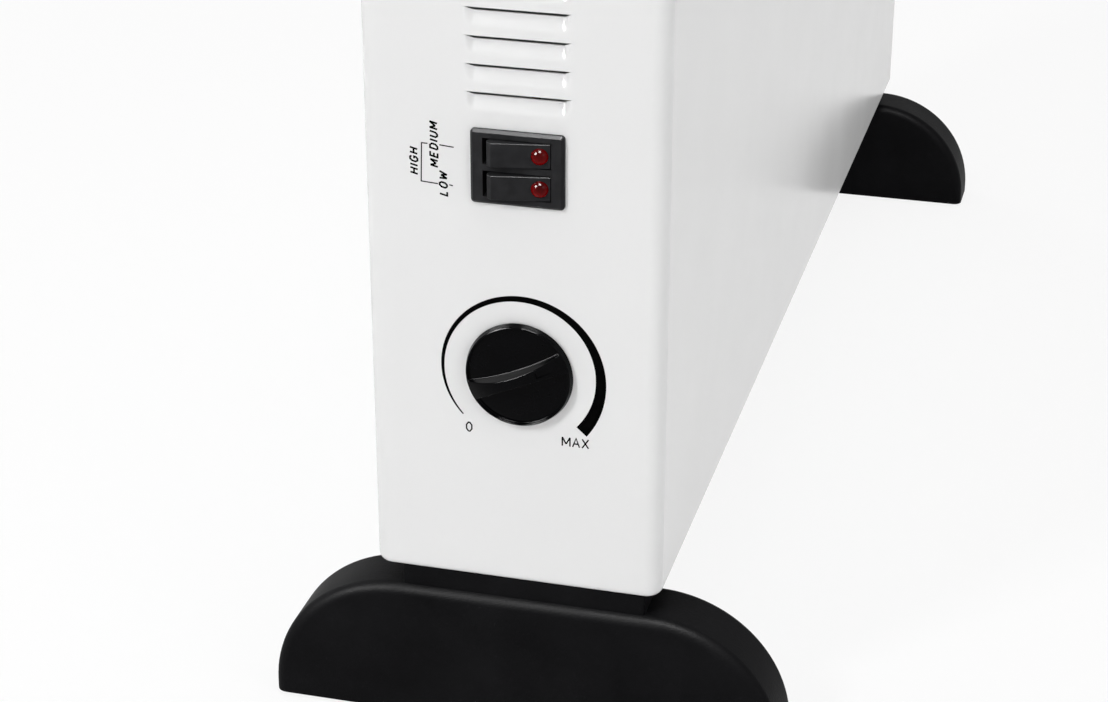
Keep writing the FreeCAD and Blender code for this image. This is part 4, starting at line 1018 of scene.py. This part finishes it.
def dial_strip():
    """Two rows of points of the dial's arc, which widens from its cold end to its hot end."""
    dial = settings("print")
    inner, outer = [], []
    for i in range(DIAL_STEPS + 1):
        share = i / DIAL_STEPS
        angle = dial.dial_start + (dial.dial_end - dial.dial_start) * share
        swell = sum(factor * share ** power for power, factor in enumerate(DIAL_SWELL, start=1))
        width = dial.dial_thin + (dial.dial_thick - dial.dial_thin) * swell
        for row, radius in ((inner, dial.dial_radius), (outer, dial.dial_radius + width)):
            row.append((radius * math.cos(angle), radius * math.sin(angle)))
    return inner, outer


def stroke(points, width):
    """Two rows of points on either side of a line through points, mitred at its corners."""
    left, right = [], []
    line = [Vector(point) for point in points]
    for i, point in enumerate(line):
        before = (point - line[i - 1]).normalized() if i else (line[1] - point).normalized()
        after = (line[i + 1] - point).normalized() if i + 1 < len(line) else before
        side = Vector((-(before.y + after.y), before.x + after.x)).normalized()
        reach = width / 2 / max(side.dot(Vector((-before.y, before.x))), BLUNTEST_MITRE)
        left.append(tuple(point + side * reach))
        right.append(tuple(point - side * reach))
    return left, right


def word_strips(text, height, weight, gap, slant):
    """Strips of a word drawn with strokes and centred on the origin."""
    widths = [max(x for line in LETTERS[letter] for x, _ in line) for letter in text]
    start = -(sum(widths) + gap * (len(text) - 1)) / 2
    strips = []
    for letter, width in zip(text, widths):
        for line in LETTERS[letter]:
            points = [((start + x + slant * (y - 0.5)) * height, (y - 0.5) * height) for x, y in line]
            strips.append(stroke(points, weight * height))
        start += width + gap
    return strips


def printed(name, strips, matrix):
    """Printed piece on the end panel."""
    mesh = print_mesh(name, strips)
    mesh.transform(matrix)
    mesh.materials.append(finish_of(print_ink))
    return as_piece(new_object(name, mesh), HEATER, "knob_moulding")


class HEATER_OT_print(bpy.types.Operator):
    """Dial round the knob and level markings beside the switch"""

    bl_idname = "heater.print"
    bl_label = "Print"

    def execute(self, context):
        letters = settings("print")
        printed("dial_arc", [dial_strip()], panel_frame(KNOB_CENTRE))
        for name, text, across, up in DIAL_WORDS:
            strips = word_strips(text, letters.dial_letters, **DIAL_STYLE)
            printed(name, strips, panel_frame(KNOB_CENTRE, across, up))
        lines = [stroke([(x * MM, y * MM) for x, y in line], letters.line_width) for line in LEVEL_LINES]
        printed("level_lines", lines, panel_frame(SWITCH_CENTRE))
        for name, text, across, up in LEVEL_WORDS:
            strips = word_strips(text, letters.switch_letters, **LEVEL_STYLE)
            printed(name, strips, panel_frame(SWITCH_CENTRE, across, up, turned=True))
        return {"FINISHED"}


# Stage

# Middle of the controls, where the sheen lamps point
CONTROLS = (-0.28, 0.0, 0.17)

# Lamps: name, place, aim and width in metres, the setting with the power, whether it shows on gloss only
LAMPS = (
    ("top", (-0.4, 0.0, 2.6), (-0.4, 0.0, 0.0), 2.0, "top", False),
    ("key", (-1.5, 0.9, 1.4), (-0.2, 0.0, 0.2), 0.3, "key", False),
    ("fill", (-1.2, -1.8, 1.0), (-0.2, 0.0, 0.2), 1.0, "fill", False),
    ("rear_fill", (1.2, 1.8, 1.0), (0.2, 0.0, 0.2), 1.0, "fill", False),
    ("left_sheen", (-1.15, 0.96, 0.92), CONTROLS, 0.6, "sheen", True),
    ("high_sheen", (-0.87, -0.1, 1.46), CONTROLS, 0.6, "sheen", True),
)


def pointed_object(name, data, place, aim):
    """Lamp or camera in the scene at a place, pointed at another."""
    item = new_object(name, data)
    item.location = place
    item.rotation_euler = (Vector(aim) - Vector(place)).to_track_quat("-Z", "Y").to_euler()
    return item


def soft_lamp(name, place, aim, width, power, gloss_only):
    """Square soft lamp pointed at a place, unseen by the camera; it can be left to show on gloss only."""
    lamp = bpy.data.lights.new(name, "AREA")
    lamp.size = width
    lamp.energy = power
    item = pointed_object(name, lamp, place, aim)
    item.visible_camera = False
    item.visible_diffuse = not gloss_only


def seen_directly(tree):
    """Output that is 1 for rays from the camera, off gloss and through glass."""
    path = add_node(tree, "ShaderNodeLightPath")
    seen = calc(tree, "MAXIMUM", path.outputs["Is Camera Ray"], path.outputs["Is Glossy Ray"])
    return calc(tree, "MAXIMUM", seen, path.outputs["Is Transmission Ray"])


def shader_mix(tree, factor, low, high):
    """Shader between two, by a factor."""
    return add_node(tree, "ShaderNodeMixShader", {SHADER_FACTOR: factor, SHADER_LOW: low, SHADER_HIGH: high})


def studio_world():
    """Even grey light, seen as white."""
    world = bpy.data.worlds.new("studio")
    world.use_nodes = True
    tree = world.node_tree
    tree.nodes.clear()
    light = add_node(tree, "ShaderNodeBackground", {"Color": WHITE, "Strength": settings("stage").ambient})
    white = add_node(tree, "ShaderNodeBackground", {"Color": WHITE, "Strength": 1.0})
    add_node(tree, "ShaderNodeOutputWorld", {"Surface": shader_mix(tree, seen_directly(tree), light, white)})
    bpy.context.scene.world = world


def floor_finish():
    """Pale matt floor, faintly uneven, lifted towards white where it is seen and quite white far off."""
    finish = Finish("pale_floor", Specular_IOR_Level=0.0)
    tree = finish.tree
    stage = settings("stage")
    finish.cloudy(shade(stage.floor, 0.995), stage.floor, least=0.7, most=0.8, scale=2.0)
    distance = add_node(tree, "ShaderNodeVectorMath", {0: object_place(tree)}, operation="LENGTH")
    limits = {"Value": distance.outputs["Value"], "From Min": FADE_START, "From Max": FADE_END,
              "To Min": stage.lift}
    fade = add_node(tree, "ShaderNodeMapRange", limits, interpolation_type="SMOOTHSTEP")
    lift = calc(tree, "MULTIPLY", seen_directly(tree), fade.outputs["Result"])
    white = add_node(tree, "ShaderNodeEmission")
    feed(tree, finish.output.inputs["Surface"], shader_mix(tree, lift, finish.surface, white))
    return finish.material


class HEATER_OT_stage(bpy.types.Operator):
    """Pale floor, soft studio lamps and the camera"""

    bl_idname = "heater.stage"
    bl_label = "Stage"

    def execute(self, context):
        stage = settings("stage")
        corners = [(x * FLOOR_REACH, y * FLOOR_REACH, 0) for x, y in ((-1, -1), (1, -1), (1, 1), (-1, 1))]
        mesh = bpy.data.meshes.new("floor")
        mesh.from_pydata(corners, [], [(0, 1, 2, 3)])
        mesh.materials.append(finish_of(floor_finish))
        new_object("floor", mesh)
        studio_world()
        for name, place, aim, width, power, gloss_only in LAMPS:
            soft_lamp(name, place, aim, width, getattr(stage, power), gloss_only)
        camera = bpy.data.cameras.new("camera")
        camera.sensor_width = SENSOR_WIDTH
        camera.lens = stage.lens
        context.scene.camera = pointed_object("camera", camera, stage.camera_place, stage.camera_aim)
        context.scene.view_settings.view_transform = "Standard"
        return {"FINISHED"}


class HEATER_PT_looks(bpy.types.Panel):
    """Steps and settings of the heater's looks"""

    bl_label = "Convector heater"
    bl_idname = "HEATER_PT_looks"
    bl_space_type = "VIEW_3D"
    bl_region_type = "UI"
    bl_category = "Heater"

    def draw(self, context):
        for operator in OPERATORS:
            self.layout.operator(operator.bl_idname)
        for name in GROUPS:
            column = self.layout.column(heading=name.capitalize())
            group = settings(name)
            for prop in group.bl_rna.properties:
                if prop.identifier not in ("rna_type", "name"):
                    column.prop(group, prop.identifier)


GROUPS = {"casing": HeaterCasingSettings, "finish": HeaterFinishSettings, "print": HeaterPrintSettings,
          "stage": HeaterStageSettings}
OPERATORS = (HEATER_OT_casing, HEATER_OT_screws, HEATER_OT_switch, HEATER_OT_knob, HEATER_OT_feet,
             HEATER_OT_inside, HEATER_OT_print, HEATER_OT_stage)


def register():
    """Register the property groups, operators and panel."""
    for name, group in GROUPS.items():
        bpy.utils.register_class(group)
        setattr(bpy.types.Scene, "heater_" + name, PointerProperty(type=group))
    for kind in OPERATORS + (HEATER_PT_looks,):
        bpy.utils.register_class(kind)


def unregister():
    """Take back what register added."""
    for kind in (HEATER_PT_looks,) + OPERATORS[::-1]:
        bpy.utils.unregister_class(kind)
    for name, group in GROUPS.items():
        delattr(bpy.types.Scene, "heater_" + name)
        bpy.utils.unregister_class(group)


def main():
    """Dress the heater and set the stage."""
    register()
    bpy.ops.heater.casing()
    bpy.ops.heater.screws()
    bpy.ops.heater.switch()
    bpy.ops.heater.knob()
    bpy.ops.heater.feet()
    bpy.ops.heater.inside()
    bpy.ops.heater.print()
    bpy.ops.heater.stage()


if __name__ == "__main__":
    main()
